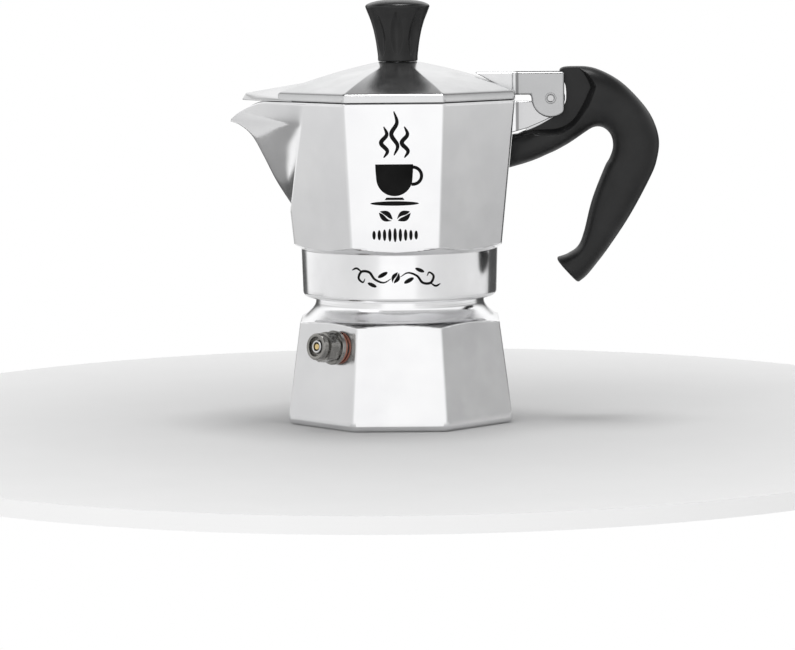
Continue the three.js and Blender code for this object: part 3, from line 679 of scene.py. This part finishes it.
def make_knob():
    height = KNOB_TOP_Z - KNOB_LOW_Z
    angles = np.radians(np.arange(0, 360, 1.5))
    side = spline([(4.95, 0.35), (5.0, 1.6), (5.3, 3.4), (5.72, 5.7), (6.2, 8.0), (6.85, 10.4), (7.6, 12.4),
                   (7.95, 13.3)], 70)
    crown = [(8.0, 13.55), (7.95, 13.8), (7.8, 14.0), (7.5, 14.2), (6.6, 14.6), (5.0, 14.98), (3.0, 15.22),
             (1.2, 15.3)]
    bore_z = KNOB_LOW_Z + KNOB_BORE_DEPTH
    rows = [(0, bore_z), (KNOB_BORE_R, bore_z), (KNOB_BORE_R, KNOB_LOW_Z), (4.7, KNOB_LOW_Z),
            (4.88, KNOB_LOW_Z + 0.1)]
    low, high, half_width, depth = 1.3, 12.4, 1.55, 0.85
    for radius, z in side:
        span = (2 * z - low - high) / (high - low)
        wide = half_width * max(1e-3, 1 - span ** 2) ** 0.75
        offset = ((angles + EIGHTH) % (2 * EIGHTH) - EIGHTH) * radius
        dent = np.clip(1 - (offset / wide) ** 2, 0, 1) if abs(span) < 1 else np.zeros_like(angles)
        scoop = depth * max(0.0, 1 - span ** 2) ** 0.9
        rows.append((radius - scoop * dent, KNOB_LOW_Z + z))
    rows += [(radius, KNOB_LOW_Z + z * height / 15.3) for radius, z in crown]
    rows.append((0, KNOB_TOP_Z))
    return tidy(revolve("knob_grip", rows, angles), 26)


# ---- Safety valve ----


VALVE_Z, VALVE_OFFSET = 20.1, 4.0
VALVE_HOLE_R = 3.2


def valve_frame():
    """Where the valve stands: its axis along the plunger's joint, its root on the boiler's facet."""
    joint = next(j for j in frame["joints"] if j["name"] == "valve_travel")
    axis = Vector(joint["axis"]).normalized()
    slope = math.atan((FOOT_R - SHOULDER_R) * FLAT / SHOULDER_Z)
    out = Vector((math.cos(math.radians(-135)), math.sin(math.radians(-135)), 0))
    root = out * boiler_r(VALVE_Z) * FLAT + Vector((-out.y, out.x, 0)) * VALVE_OFFSET
    root.z = VALVE_Z
    local = out * math.cos(slope) + Vector((0, 0, math.sin(slope)))
    turn = Vector((0, 0, 1)).rotation_difference(local).to_matrix().to_4x4()
    placed = Matrix.Rotation(BOILER_TWIST, 4, "Z") @ Matrix.Translation(root * MM) @ turn
    assert (placed.to_3x3() @ Vector((0, 0, 1)) - axis).length < 1e-3
    return placed


def hexagon(angles, corner_r, rounding):
    sixth = math.pi / 6
    phi = np.abs((angles + sixth) % (2 * sixth) - sixth)
    facet = corner_r * math.cos(sixth)
    return np.minimum(facet / np.cos(phi), corner_r - rounding)


def make_valve_body():
    angles = full_circle(168)
    nut = hexagon(angles, 4.0, 0.12)
    chamfered = np.minimum(nut, 3.72)
    rows = [(1.2, -4.0), (2.8, -4.0), (2.9, -3.8), (2.9, 0.9), (3.98, 0.9), (4.2, 1.1), (4.2, 1.9),
            (4.02, 2.1), (3.7, 2.1), (3.5, 2.16), (3.5, 2.4), (chamfered, 2.42), (nut, 2.72), (nut, 5.25),
            (chamfered, 5.55), (3.1, 5.62), (2.98, 5.7), (2.98, 5.95), (3.2, 6.05), (3.3, 6.2), (3.3, 7.25),
            (3.16, 7.5), (2.96, 7.6), (2.64, 7.6), (2.46, 7.52), (2.4, 7.35), (2.4, 6.5), (1.7, 6.5),
            (1.7, -3.0), (1.2, -3.0)]
    return place(revolve("valve_nut", rows, angles, closed=True), valve_frame())


def make_valve_cap():
    rows = [(1.05, 5.2), (1.62, 5.2), (1.62, 7.1), (1.56, 7.22), (1.42, 7.3), (1.22, 7.3), (1.1, 7.24),
            (1.05, 7.1)]
    return place(revolve("valve_cap", rows, full_circle(96), closed=True), valve_frame())


# ---- Prints: a cup with steam on the front facet, and a flourish on the collar ----


def ribbon(points, widths):
    """Left and right edges of a stroke that follows points with its own width at each."""
    points = np.asarray(points, float)
    along = np.gradient(points, axis=0)
    along /= np.maximum(np.hypot(along[:, 0], along[:, 1]), 1e-9)[:, None]
    across = np.stack([-along[:, 1], along[:, 0]], 1) * np.asarray(widths)[:, None] / 2
    return list(map(tuple, points + across)) + list(map(tuple, (points - across)[::-1]))


def stroke(points, width, taper=0.75, count=36):
    curve = spline(points, count)
    share = np.linspace(-1, 1, count)
    return ribbon(curve, width * (1 - taper * np.abs(share) ** 2.5))


def ellipse(centre, radii, turn=0.0, count=36):
    c, s = math.cos(turn), math.sin(turn)
    out = []
    for i in range(count):
        a = 2 * math.pi * i / count
        x, y = radii[0] * math.cos(a), radii[1] * math.sin(a)
        out.append((centre[0] + c * x - s * y, centre[1] + s * x + c * y))
    return out


def print_shapes(name, shapes, surface, lift=0.02, thickness=0.03):
    """Thin ink pads: flat outlines laid on a surface that gives a point and a normal for (u, v)."""
    bm = bmesh.new()
    for outline in shapes:
        flat = bmesh.new()
        loop = [flat.verts.new((u, v, 0)) for u, v in outline]
        flat.faces.new(loop)
        bmesh.ops.triangulate(flat, faces=flat.faces)
        for _ in range(2):
            longest = [e for e in flat.edges if e.calc_length() > 1.2]
            if longest:
                bmesh.ops.subdivide_edges(flat, edges=longest, cuts=1)
                bmesh.ops.triangulate(flat, faces=flat.faces)
        mapped = {}
        for v in flat.verts:
            point, normal = surface(v.co.x, v.co.y)
            mapped[v] = [bm.verts.new((point + normal * height) * MM) for height in (lift + thickness, lift)]
        for face in flat.faces:
            bm.faces.new([mapped[v][0] for v in face.verts])
            bm.faces.new([mapped[v][1] for v in reversed(face.verts)])
        for edge in flat.edges:
            if len(edge.link_faces) == 1:
                a, b = edge.verts
                bm.faces.new([mapped[a][0], mapped[b][0], mapped[b][1], mapped[a][1]])
        flat.free()
    mesh = bpy.data.meshes.new(name)
    bm.to_mesh(mesh)
    bm.free()
    obj = bpy.data.objects.new(name, mesh)
    bpy.context.scene.collection.objects.link(obj)
    return tidy(obj, 30, merge=1e-7)


FACET_PRINT_Z, COLLAR_PRINT_Z = 61.5, 37.6


def front_facet(u, v):
    """A point on the jug's front facet and its normal: u to the right, v up the facet from the print."""
    lean = math.atan((jug_r(RIM_Z) - jug_r(JUG_LOW_Z)) * FLAT / (RIM_Z - JUG_LOW_Z))
    z = FACET_PRINT_Z + v * math.cos(lean)
    return Vector((u, -jug_r(z) * FLAT, z)), Vector((0, -math.cos(lean), -math.sin(lean)))


def collar(u, v):
    z = COLLAR_PRINT_Z + v
    radius = SKIRT_LOW_R + (SKIRT_R - SKIRT_LOW_R) * (z - SKIRT_LOW_Z) / (SKIRT_TOP_Z - SKIRT_LOW_Z)
    angle = u / radius - math.pi / 2
    normal = Vector((math.cos(angle), math.sin(angle), 0))
    return normal * radius + Vector((0, 0, z)), normal


def bean(centre, size, turn):
    """Two halves of a coffee bean with a wavy gap between them."""
    halves = []
    c, s = math.cos(turn), math.sin(turn)
    first, last = 0.03, 0.97
    for side in (-1, 1):
        seam = [(side * 0.09 + 0.1 * math.sin(2 * math.pi * t), 1 - 2 * t)
                for t in np.linspace(first, last, 14)]
        edge = [(side * (0.09 + 0.6 * math.sin(math.pi * t)), 2 * t - 1)
                for t in np.linspace(first, last, 16)]
        halves.append([(centre[0] + size * (c * x - s * y), centre[1] + size * (s * x + c * y))
                       for x, y in seam + edge])
    return halves


def make_facet_print():
    shapes = []
    for x, low, high in ((-2.5, 5.6, 13.2), (0.0, 6.2, 16.9), (2.5, 5.6, 13.2)):
        rise = high - low
        wave = [(x, low), (x + 0.9, low + rise * 0.22), (x - 0.6, low + rise * 0.48),
                (x + 0.8, low + rise * 0.74), (x + 0.1, high)]
        shapes.append(stroke(wave, 1.05))
    shapes.append([(-4.6, 4.0), (-4.55, 2.4)] + arc((0, 0.6), 4.4, 185, 355, 28) + [(4.55, 2.4), (4.6, 4.0)])
    loop = arc((4.5, 1.2), 2.1, 100, -100, 22)
    shapes.append(ribbon(loop, np.full(len(loop), 0.8)))
    shapes.append([(-2.0, -4.15), (2.0, -4.15), (2.4, -4.75), (-2.4, -4.75)])
    shapes.append(ellipse((0, -5.6), (5.9, 0.55)))
    shapes += bean((-2.2, -8.7), 1.9, math.radians(58)) + bean((2.2, -8.7), 1.9, math.radians(-58))
    for k in range(-4, 5):
        shapes.append(ellipse((1.28 * k, -13.4), (0.42, 1.75 - 0.16 * abs(k)), count=20))
    return print_shapes("facet_print", shapes, front_facet)


def make_collar_print():
    shapes = []
    for side in (-1, 1):
        vine = [(1.1, 0.2), (3.0, 1.2), (5.2, 0.4), (6.6, -1.3), (8.6, -1.4), (9.4, 0.2), (8.3, 1.2),
                (7.7, 0.3)]
        shapes.append(stroke([(side * x, side * y) for x, y in vine], 0.62, taper=0.8, count=60))
        tail = [(8.6, -1.4), (9.9, -2.2), (11.2, -1.7)]
        shapes.append(stroke([(side * x, side * y) for x, y in tail], 0.5))
        shapes.append(ellipse((side * 3.2, side * -0.7), (1.35, 0.5), 0.5))
        shapes.append(ellipse((side * 5.9, side * 1.8), (1.2, 0.45), -0.4))
    shapes += bean((0, 0), 1.5, math.radians(-25))
    return print_shapes("collar_print", shapes, collar)


# ---- Materials ----


def ramp(tree, value, stops):
    """A grey that follows value (0 to 1) through stops of (position, brightness)."""
    made = tree.nodes.new("ShaderNodeValToRGB")
    elements = made.color_ramp.elements
    while len(elements) < len(stops):
        elements.new(0.5)
    for element, (position, grey) in zip(elements, stops):
        element.position = position
        element.color = (grey, grey, grey, 1)
    tree.links.new(value, made.inputs["Fac"])
    return made.outputs["Color"]


def fill(node, **values):
    """Sets a node's inputs; an underscore stands for a space in an input's name."""
    for key, value in values.items():
        node.inputs[key.replace("_", " ")].default_value = value
    return node


class Nodes:
    """Short names for the shader nodes that the materials share."""

    def __init__(self, name):
        self.material = bpy.data.materials.new(name)
        self.material.use_nodes = True
        self.tree = self.material.node_tree
        self.surface = self.tree.nodes["Principled BSDF"]
        self.place = self.tree.nodes.new("ShaderNodeTexCoord").outputs["Object"]

    def node(self, kind, **settings):
        made = self.tree.nodes.new(kind)
        for key, value in settings.items():
            if hasattr(made, key):
                setattr(made, key, value)
            else:
                made.inputs[key.replace("_", " ").capitalize()].default_value = value
        return made

    def link(self, output, socket):
        self.tree.links.new(output, socket)

    def noise(self, scale, detail=4.0, roughness=0.55, stretch=(1, 1, 1)):
        mapping = fill(self.node("ShaderNodeMapping"), Scale=stretch)
        self.link(self.place, mapping.inputs["Vector"])
        made = fill(self.node("ShaderNodeTexNoise"), Scale=scale, Detail=detail, Roughness=roughness)
        self.link(mapping.outputs["Vector"], made.inputs["Vector"])
        return made.outputs["Fac"]

    def span(self, value, low, high, start=0.3, end=0.7):
        made = fill(self.node("ShaderNodeMapRange"), From_Min=start, From_Max=end, To_Min=low, To_Max=high)
        self.link(value, made.inputs["Value"])
        return made.outputs["Result"]

    def tint(self, value, first, second):
        made = self.node("ShaderNodeValToRGB")
        for element, position, colour in zip(made.color_ramp.elements, (0.32, 0.68), (first, second)):
            element.position = position
            element.color = (*colour, 1)
        self.link(value, made.inputs["Fac"])
        return made.outputs["Color"]

    def beyond(self, colour, distance, stops):
        """Multiplies a colour by greys that follow the object's X for 2 mm past a distance; this paints shade
        past that distance.
        """
        split = self.node("ShaderNodeSeparateXYZ")
        self.link(self.place, split.inputs[0])
        past = self.span(split.outputs["X"], 0.0, 1.0, distance * MM, (distance + 2) * MM)
        tone = fill(self.node("ShaderNodeMixRGB", blend_type="MULTIPLY"), Fac=1.0)
        self.link(colour, tone.inputs["Color1"])
        self.link(ramp(self.tree, past, stops), tone.inputs["Color2"])
        return tone.outputs["Color"]

    def bump(self, value, strength, distance, after=None):
        made = fill(self.node("ShaderNodeBump"), Strength=strength, Distance=distance * MM)
        self.link(value, made.inputs["Height"])
        if after is not None:
            self.link(after, made.inputs["Normal"])
        return made.outputs["Normal"]

    def set(self, **values):
        for key, value in values.items():
            socket = self.surface.inputs[key.replace("_", " ")]
            if isinstance(value, bpy.types.NodeSocket):
                self.link(value, socket)
            else:
                socket.default_value = value
        return self.material


# Painted shade on the hinge side of a casting: a dark band of painted shade in the crevice at its root, then
# darker painted greys on the hinge parts outwards, as (share of 2 mm, grey).
HINGE_SHADE_GREYS = [(0.0, 1.0), (0.06, 0.34), (0.36, 0.3), (0.44, 0.66), (1.0, 0.68)]
HINGE_SHADE_X = 29.25


def metal(name, dark, light, rough, grain=900, stretch=(1, 1, 1), relief=0.004, cloud=60, hinge_shade=False):
    """Metal with a cloudy tint, a roughness that varies, and fine marks along one direction; with the hinge
    option it also gets painted shade on its hinge side.
    """
    n = Nodes(name)
    colour = n.tint(n.noise(cloud, 5), dark, light)
    # Painted shade: a dark band in the crevice where the hinge lug meets the jug, and the hinge parts past it
    # painted darker.
    if hinge_shade:
        colour = n.beyond(colour, HINGE_SHADE_X, HINGE_SHADE_GREYS)
    marks = n.noise(grain, 3, 0.6, stretch)
    haze = n.noise(cloud * 2.5, 6, 0.6)
    roughness = n.span(haze, rough[0], rough[1])
    normal = n.bump(marks, 0.35, relief)
    return n.set(Base_Color=colour, Metallic=1.0, Roughness=roughness, Normal=normal)


def plastic(name, dark, light, rough, grain, relief, coat=0.0, gloss=0.5):
    """Moulded black plastic: a faint cloud of greys, a fine pebble grain and duller patches."""
    n = Nodes(name)
    colour = n.tint(n.noise(140, 6), dark, light)
    pebble = n.noise(grain, 4, 0.7)
    flow = n.noise(90, 4, 0.5, (1, 1, 0.4))
    normal = n.bump(pebble, 0.5, relief, n.bump(flow, 0.25, relief * 3))
    return n.set(Base_Color=colour, Roughness=n.span(n.noise(220, 5), rough[0], rough[1]), Normal=normal,
                 Specular_IOR_Level=gloss, Coat_Weight=coat, Coat_Roughness=0.35)


def rubber(name, dark, light):
    n = Nodes(name)
    colour = n.tint(n.noise(200, 5), dark, light)
    normal = n.bump(n.noise(1500, 3), 0.5, 0.02)
    return n.set(Base_Color=colour, Roughness=n.span(n.noise(300, 4), 0.62, 0.82), Normal=normal)


MATERIALS = {
    "polished": metal("polished_aluminium", (0.80, 0.80, 0.81), (0.86, 0.86, 0.865), (0.13, 0.21), 700,
                      (1, 1, 0.12), hinge_shade=True),
    # The lid gets a rougher copy of the jug's cast aluminium, also painted darker as shade for the greyer
    # light on its facets.
    "lid": metal("satin_aluminium_painted_darker", (0.62, 0.625, 0.63), (0.69, 0.69, 0.695), (0.17, 0.25), 900,
                 (1, 1, 0.3), 0.003, hinge_shade=True),
    "spun": metal("spun_aluminium", (0.66, 0.665, 0.67), (0.76, 0.76, 0.765), (0.28, 0.42), 1400,
                  (1, 1, 6), 0.01),
    "steel": metal("turned_steel", (0.5, 0.5, 0.505), (0.62, 0.62, 0.62), (0.2, 0.32), 1800,
                   (1, 1, 5), 0.006),
    "valve": metal("dulled_steel", (0.2, 0.196, 0.188), (0.3, 0.294, 0.28), (0.2, 0.32), 1500,
                   (4, 4, 1), 0.006),
    "brass": metal("turned_brass", (0.62, 0.45, 0.2), (0.76, 0.58, 0.28), (0.22, 0.36), 1600,
                   (1, 1, 5), 0.006),
    "handle": plastic("handle_plastic", (0.005, 0.0052, 0.0055), (0.011, 0.0112, 0.0115), (0.36, 0.46), 2600,
                      0.016, gloss=0.34),
    "knob": plastic("knob_plastic", (0.004, 0.004, 0.0042), (0.009, 0.009, 0.0092), (0.26, 0.36), 2200,
                    0.008, gloss=0.42),
    "ink": plastic("print_ink", (0.004, 0.004, 0.004), (0.009, 0.009, 0.009), (0.7, 0.85), 3000,
                   0.004, gloss=0.1),
    "rubber": rubber("gasket_rubber", (0.74, 0.71, 0.64), (0.84, 0.82, 0.76)),
    "fibre": rubber("fibre_washer", (0.36, 0.12, 0.08), (0.48, 0.19, 0.13)),
}


def coat(obj, material):
    obj.data.materials.clear()
    obj.data.materials.append(MATERIALS[material])
    return obj


# ---- Pieces that stand for CAD nodes ----


def show(obj, material, body, slot, *nodes):
    coat(obj, material)
    weigh_normals(obj)
    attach(obj, body)
    if nodes:
        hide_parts(*nodes)


show(make_boiler(), "polished", "boiler", "cast_aluminium", "boiler")
show(add_lug(make_jug()), "polished", "jug", "cast_aluminium", "jug")
show(join_lid(), "lid", "lid", "cast_aluminium", "lid")
show(make_pin(), "steel", "jug", "steel", "hinge_pin")
show(make_handle(), "handle", "jug", "handle_plastic", "handle")
show(make_handle_screw(), "steel", "jug", "steel", "handle_screw")
show(make_knob(), "knob", "lid", "knob_plastic", "knob")
show(make_valve_body(), "valve", "boiler", "valve_metal", "valve_body")
show(make_valve_cap(), "steel", "boiler", "steel", "valve_retainer")
show(make_facet_print(), "ink", "jug", "knob_plastic")
show(make_collar_print(), "ink", "jug", "knob_plastic")


# ---- CAD nodes that stay: rounded edges, smooth shading and a better material ----


def smoothing_group(sharp_degrees=30.0):
    """Geometry nodes that weld a faceted mesh and shade it smooth except over its sharp edges."""
    group = bpy.data.node_groups.new("weld_and_smooth", "GeometryNodeTree")
    group.interface.new_socket("Geometry", in_out="INPUT", socket_type="NodeSocketGeometry")
    group.interface.new_socket("Geometry", in_out="OUTPUT", socket_type="NodeSocketGeometry")
    start, end = group.nodes.new("NodeGroupInput"), group.nodes.new("NodeGroupOutput")
    weld = group.nodes.new("GeometryNodeMergeByDistance")
    weld.inputs["Distance"].default_value = 2e-6
    every = group.nodes.new("GeometryNodeSetShadeSmooth")
    every.domain = "FACE"
    sharp = group.nodes.new("GeometryNodeSetShadeSmooth")
    sharp.domain = "EDGE"
    sharp.inputs["Shade Smooth"].default_value = False
    angle = group.nodes.new("GeometryNodeInputMeshEdgeAngle")
    compare = group.nodes.new("FunctionNodeCompare")
    compare.data_type, compare.operation = "FLOAT", "GREATER_THAN"
    compare.inputs[1].default_value = math.radians(sharp_degrees)
    for output, socket in (
        (start.outputs[0], weld.inputs["Geometry"]), (weld.outputs["Geometry"], every.inputs["Geometry"]),
        (every.outputs["Geometry"], sharp.inputs["Geometry"]),
        (angle.outputs["Unsigned Angle"], compare.inputs[0]),
        (compare.outputs["Result"], sharp.inputs["Selection"]), (sharp.outputs["Geometry"], end.inputs[0]),
    ):
        group.links.new(output, socket)
    return group


SMOOTHING = smoothing_group()
CAD_LOOKS = {
    "valve_washer": "fibre", "valve_plunger": "brass", "valve_spring": "steel", "funnel": "spun",
    "funnel_sieve": "spun", "gasket": "rubber", "filter_plate": "spun", "column": "spun", "column_cap": "spun",
    "knob_insert": "brass", "knob_washer": "steel", "knob_screw": "steel",
}
for node, material in CAD_LOOKS.items():
    obj = frame["nodes"][node]
    coat(obj, material)
    smooth = obj.modifiers.new("smooth", "NODES")
    smooth.node_group = SMOOTHING
    rounding = obj.modifiers.new("bevel", "BEVEL")
    rounding.width, rounding.segments = 0.08 * MM, 2
    rounding.limit_method, rounding.angle_limit = "ANGLE", math.radians(40)
    weigh_normals(obj)


# ---- Floor, light and camera ----


def remap(tree, value, start, end):
    made = fill(tree.nodes.new("ShaderNodeMapRange"), From_Min=start, From_Max=end)
    tree.links.new(value, made.inputs["Value"])
    return made.outputs["Result"]


def mix(tree, share, first, second):
    made = tree.nodes.new("ShaderNodeMix")
    made.data_type = "RGBA"
    tree.links.new(share, made.inputs["Factor"])
    tree.links.new(first, made.inputs[6])
    tree.links.new(second, made.inputs[7])
    return made.outputs[2]


FLOOR_R = 150.0


def make_floor():
    """A light round table top, painted darker around its centre as a pool of shade under the pot and
    brightening towards its edge.
    """
    n = Nodes("pale_floor")
    length = n.node("ShaderNodeVectorMath", operation="LENGTH")
    n.link(n.place, length.inputs[0])
    out = remap(n.tree, length.outputs["Value"], 0.0, FLOOR_R * MM)
    speck = n.noise(60, 4)
    # Painted shade: darker near the centre, where the pot would shade the floor, lighter towards the rim.
    painted_shade_pool = ramp(n.tree, out, [(0.0, 0.62), (0.3, 0.7), (0.7, 0.86), (1.0, 0.95)])
    tone = fill(n.node("ShaderNodeMixRGB", blend_type="MULTIPLY"), Fac=0.03)
    n.link(painted_shade_pool, tone.inputs["Color1"])
    n.link(speck, tone.inputs["Color2"])
    n.set(Base_Color=tone.outputs["Color"], Roughness=0.7, Specular_IOR_Level=0.1)
    floor = revolve("floor", [(0, -0.02), (FLOOR_R, -0.02), (FLOOR_R, -4), (0, -4)], full_circle(128))
    floor.data.materials.append(n.material)


# How bright the studio is around the pot, as (degrees from the front towards the handle, brightness),
# below the horizon, a little below it, and level with it.
LOW_WALLS = [(-180, 1.0), (-170, 0.95), (-165, 0.1), (-143, 0.12), (-136, 0.3), (-104, 0.38), (-92, 0.75),
             (-45, 0.9), (-20, 1.15), (20, 1.15), (45, 0.85), (80, 0.56), (96, 0.5), (128, 0.4), (134, 0.1),
             (165, 0.08), (170, 0.95), (180, 1.0)]
MID_WALLS = [(-180, 1.0), (-170, 0.95), (-166, 0.1), (-143, 0.12), (-138, 1.1), (-100, 1.05), (-60, 0.86),
             (-24, 0.84), (-20, 1.2), (20, 1.2), (24, 0.84), (60, 0.86), (96, 1.0), (126, 1.0), (132, 0.08),
             (165, 0.08), (170, 0.95), (180, 1.0)]
HIGH_WALLS = [(-180, 1.0), (-170, 0.95), (-165, 0.1), (-143, 0.12), (-136, 0.7), (-100, 0.75), (-80, 0.78),
              (-45, 0.85), (-20, 1.15), (20, 1.15), (45, 0.8), (80, 0.5), (96, 0.48), (126, 0.4), (134, 0.1),
              (165, 0.08), (170, 0.95), (180, 1.0)]
# The same upwards, as (degrees above the horizon, brightness).
CEILING = [(0, 0.9), (14, 1.1), (26, 1.25), (32, 0.95), (38, 0.55), (45, 0.28), (58, 0.14), (76, 0.16),
           (90, 0.4)]


def make_world():
    """A studio of soft cards: bright ahead, grey beside the handle, and dark strips behind on both sides."""
    world = bpy.data.worlds.new("studio")
    bpy.context.scene.world = world
    world.use_nodes = True
    tree = world.node_tree
    background = tree.nodes["Background"]
    split = tree.nodes.new("ShaderNodeSeparateXYZ")
    tree.links.new(tree.nodes.new("ShaderNodeTexCoord").outputs["Generated"], split.inputs[0])
    flip = tree.nodes.new("ShaderNodeMath")
    flip.operation = "MULTIPLY"
    flip.inputs[1].default_value = -1.0
    tree.links.new(split.outputs["Y"], flip.inputs[0])
    turn = tree.nodes.new("ShaderNodeMath")
    turn.operation = "ARCTAN2"
    tree.links.new(split.outputs["X"], turn.inputs[0])
    tree.links.new(flip.outputs[0], turn.inputs[1])
    around = remap(tree, turn.outputs[0], -math.pi, math.pi)
    low, middle, high = [ramp(tree, around, [((a + 180) / 360, grey) for a, grey in stops])
                         for stops in (LOW_WALLS, MID_WALLS, HIGH_WALLS)]
    above = remap(tree, split.outputs["Z"], 0.0, 1.0)
    ceiling = ramp(tree, above, [(math.sin(math.radians(a)), grey) for a, grey in CEILING])
    walls = mix(tree, remap(tree, split.outputs["Z"], -0.2, -0.13), low, middle)
    walls = mix(tree, remap(tree, split.outputs["Z"], -0.07, 0.0), walls, high)
    light = mix(tree, remap(tree, split.outputs["Z"], 0.1, 0.3), walls, ceiling)
    white = tree.nodes.new("ShaderNodeRGB")
    white.outputs[0].default_value = (1, 1, 1, 1)
    seen = tree.nodes.new("ShaderNodeLightPath").outputs["Is Camera Ray"]
    tree.links.new(mix(tree, seen, light, white.outputs[0]), background.inputs["Color"])
    background.inputs["Strength"].default_value = 1.0


def add_light(name, position, target, size, power):
    data = bpy.data.lights.new(name, "AREA")
    data.shape, data.size, data.size_y, data.energy = "RECTANGLE", size[0] * MM, size[1] * MM, power
    lamp = bpy.data.objects.new(name, data)
    lamp.location = Vector(position) * MM
    aim = Vector(target) * MM - lamp.location
    lamp.rotation_euler = aim.to_track_quat("-Z", "Y").to_euler()
    bpy.context.scene.collection.objects.link(lamp)


CAMERA_AZIMUTH = 2.35       # degrees round towards the handle
CAMERA_DISTANCE = 825.0
CAMERA_HEIGHT = 113.5
CAMERA_PITCH = 6.235         # degrees down
CAMERA_ROLL = -0.55
CAMERA_YAW = 0.05
LENS = 149.4


def make_camera():
    data = bpy.data.cameras.new("camera")
    data.lens, data.sensor_width = LENS, 36.0
    data.clip_start, data.clip_end = 0.05, 30
    camera = bpy.data.objects.new("camera", data)
    turn = math.radians(CAMERA_AZIMUTH)
    place_at = Vector((math.sin(turn) * CAMERA_DISTANCE, -math.cos(turn) * CAMERA_DISTANCE, CAMERA_HEIGHT))
    camera.matrix_world = (Matrix.Translation(place_at * MM)
                           @ Matrix.Rotation(turn + math.radians(CAMERA_YAW), 4, "Z")
                           @ Matrix.Rotation(math.radians(90 - CAMERA_PITCH), 4, "X")
                           @ Matrix.Rotation(math.radians(CAMERA_ROLL), 4, "Z"))
    bpy.context.scene.collection.objects.link(camera)
    bpy.context.scene.camera = camera


make_floor()
make_world()
add_light("key", (-500, -500, 700), (0, 0, 50), (400, 400), 0.8)
add_light("top", (60, 60, 900), (0, 0, 50), (300, 300), 3.0)
make_camera()
bpy.context.scene.view_settings.view_transform = "Standard"

bpy.context.view_layer.update()
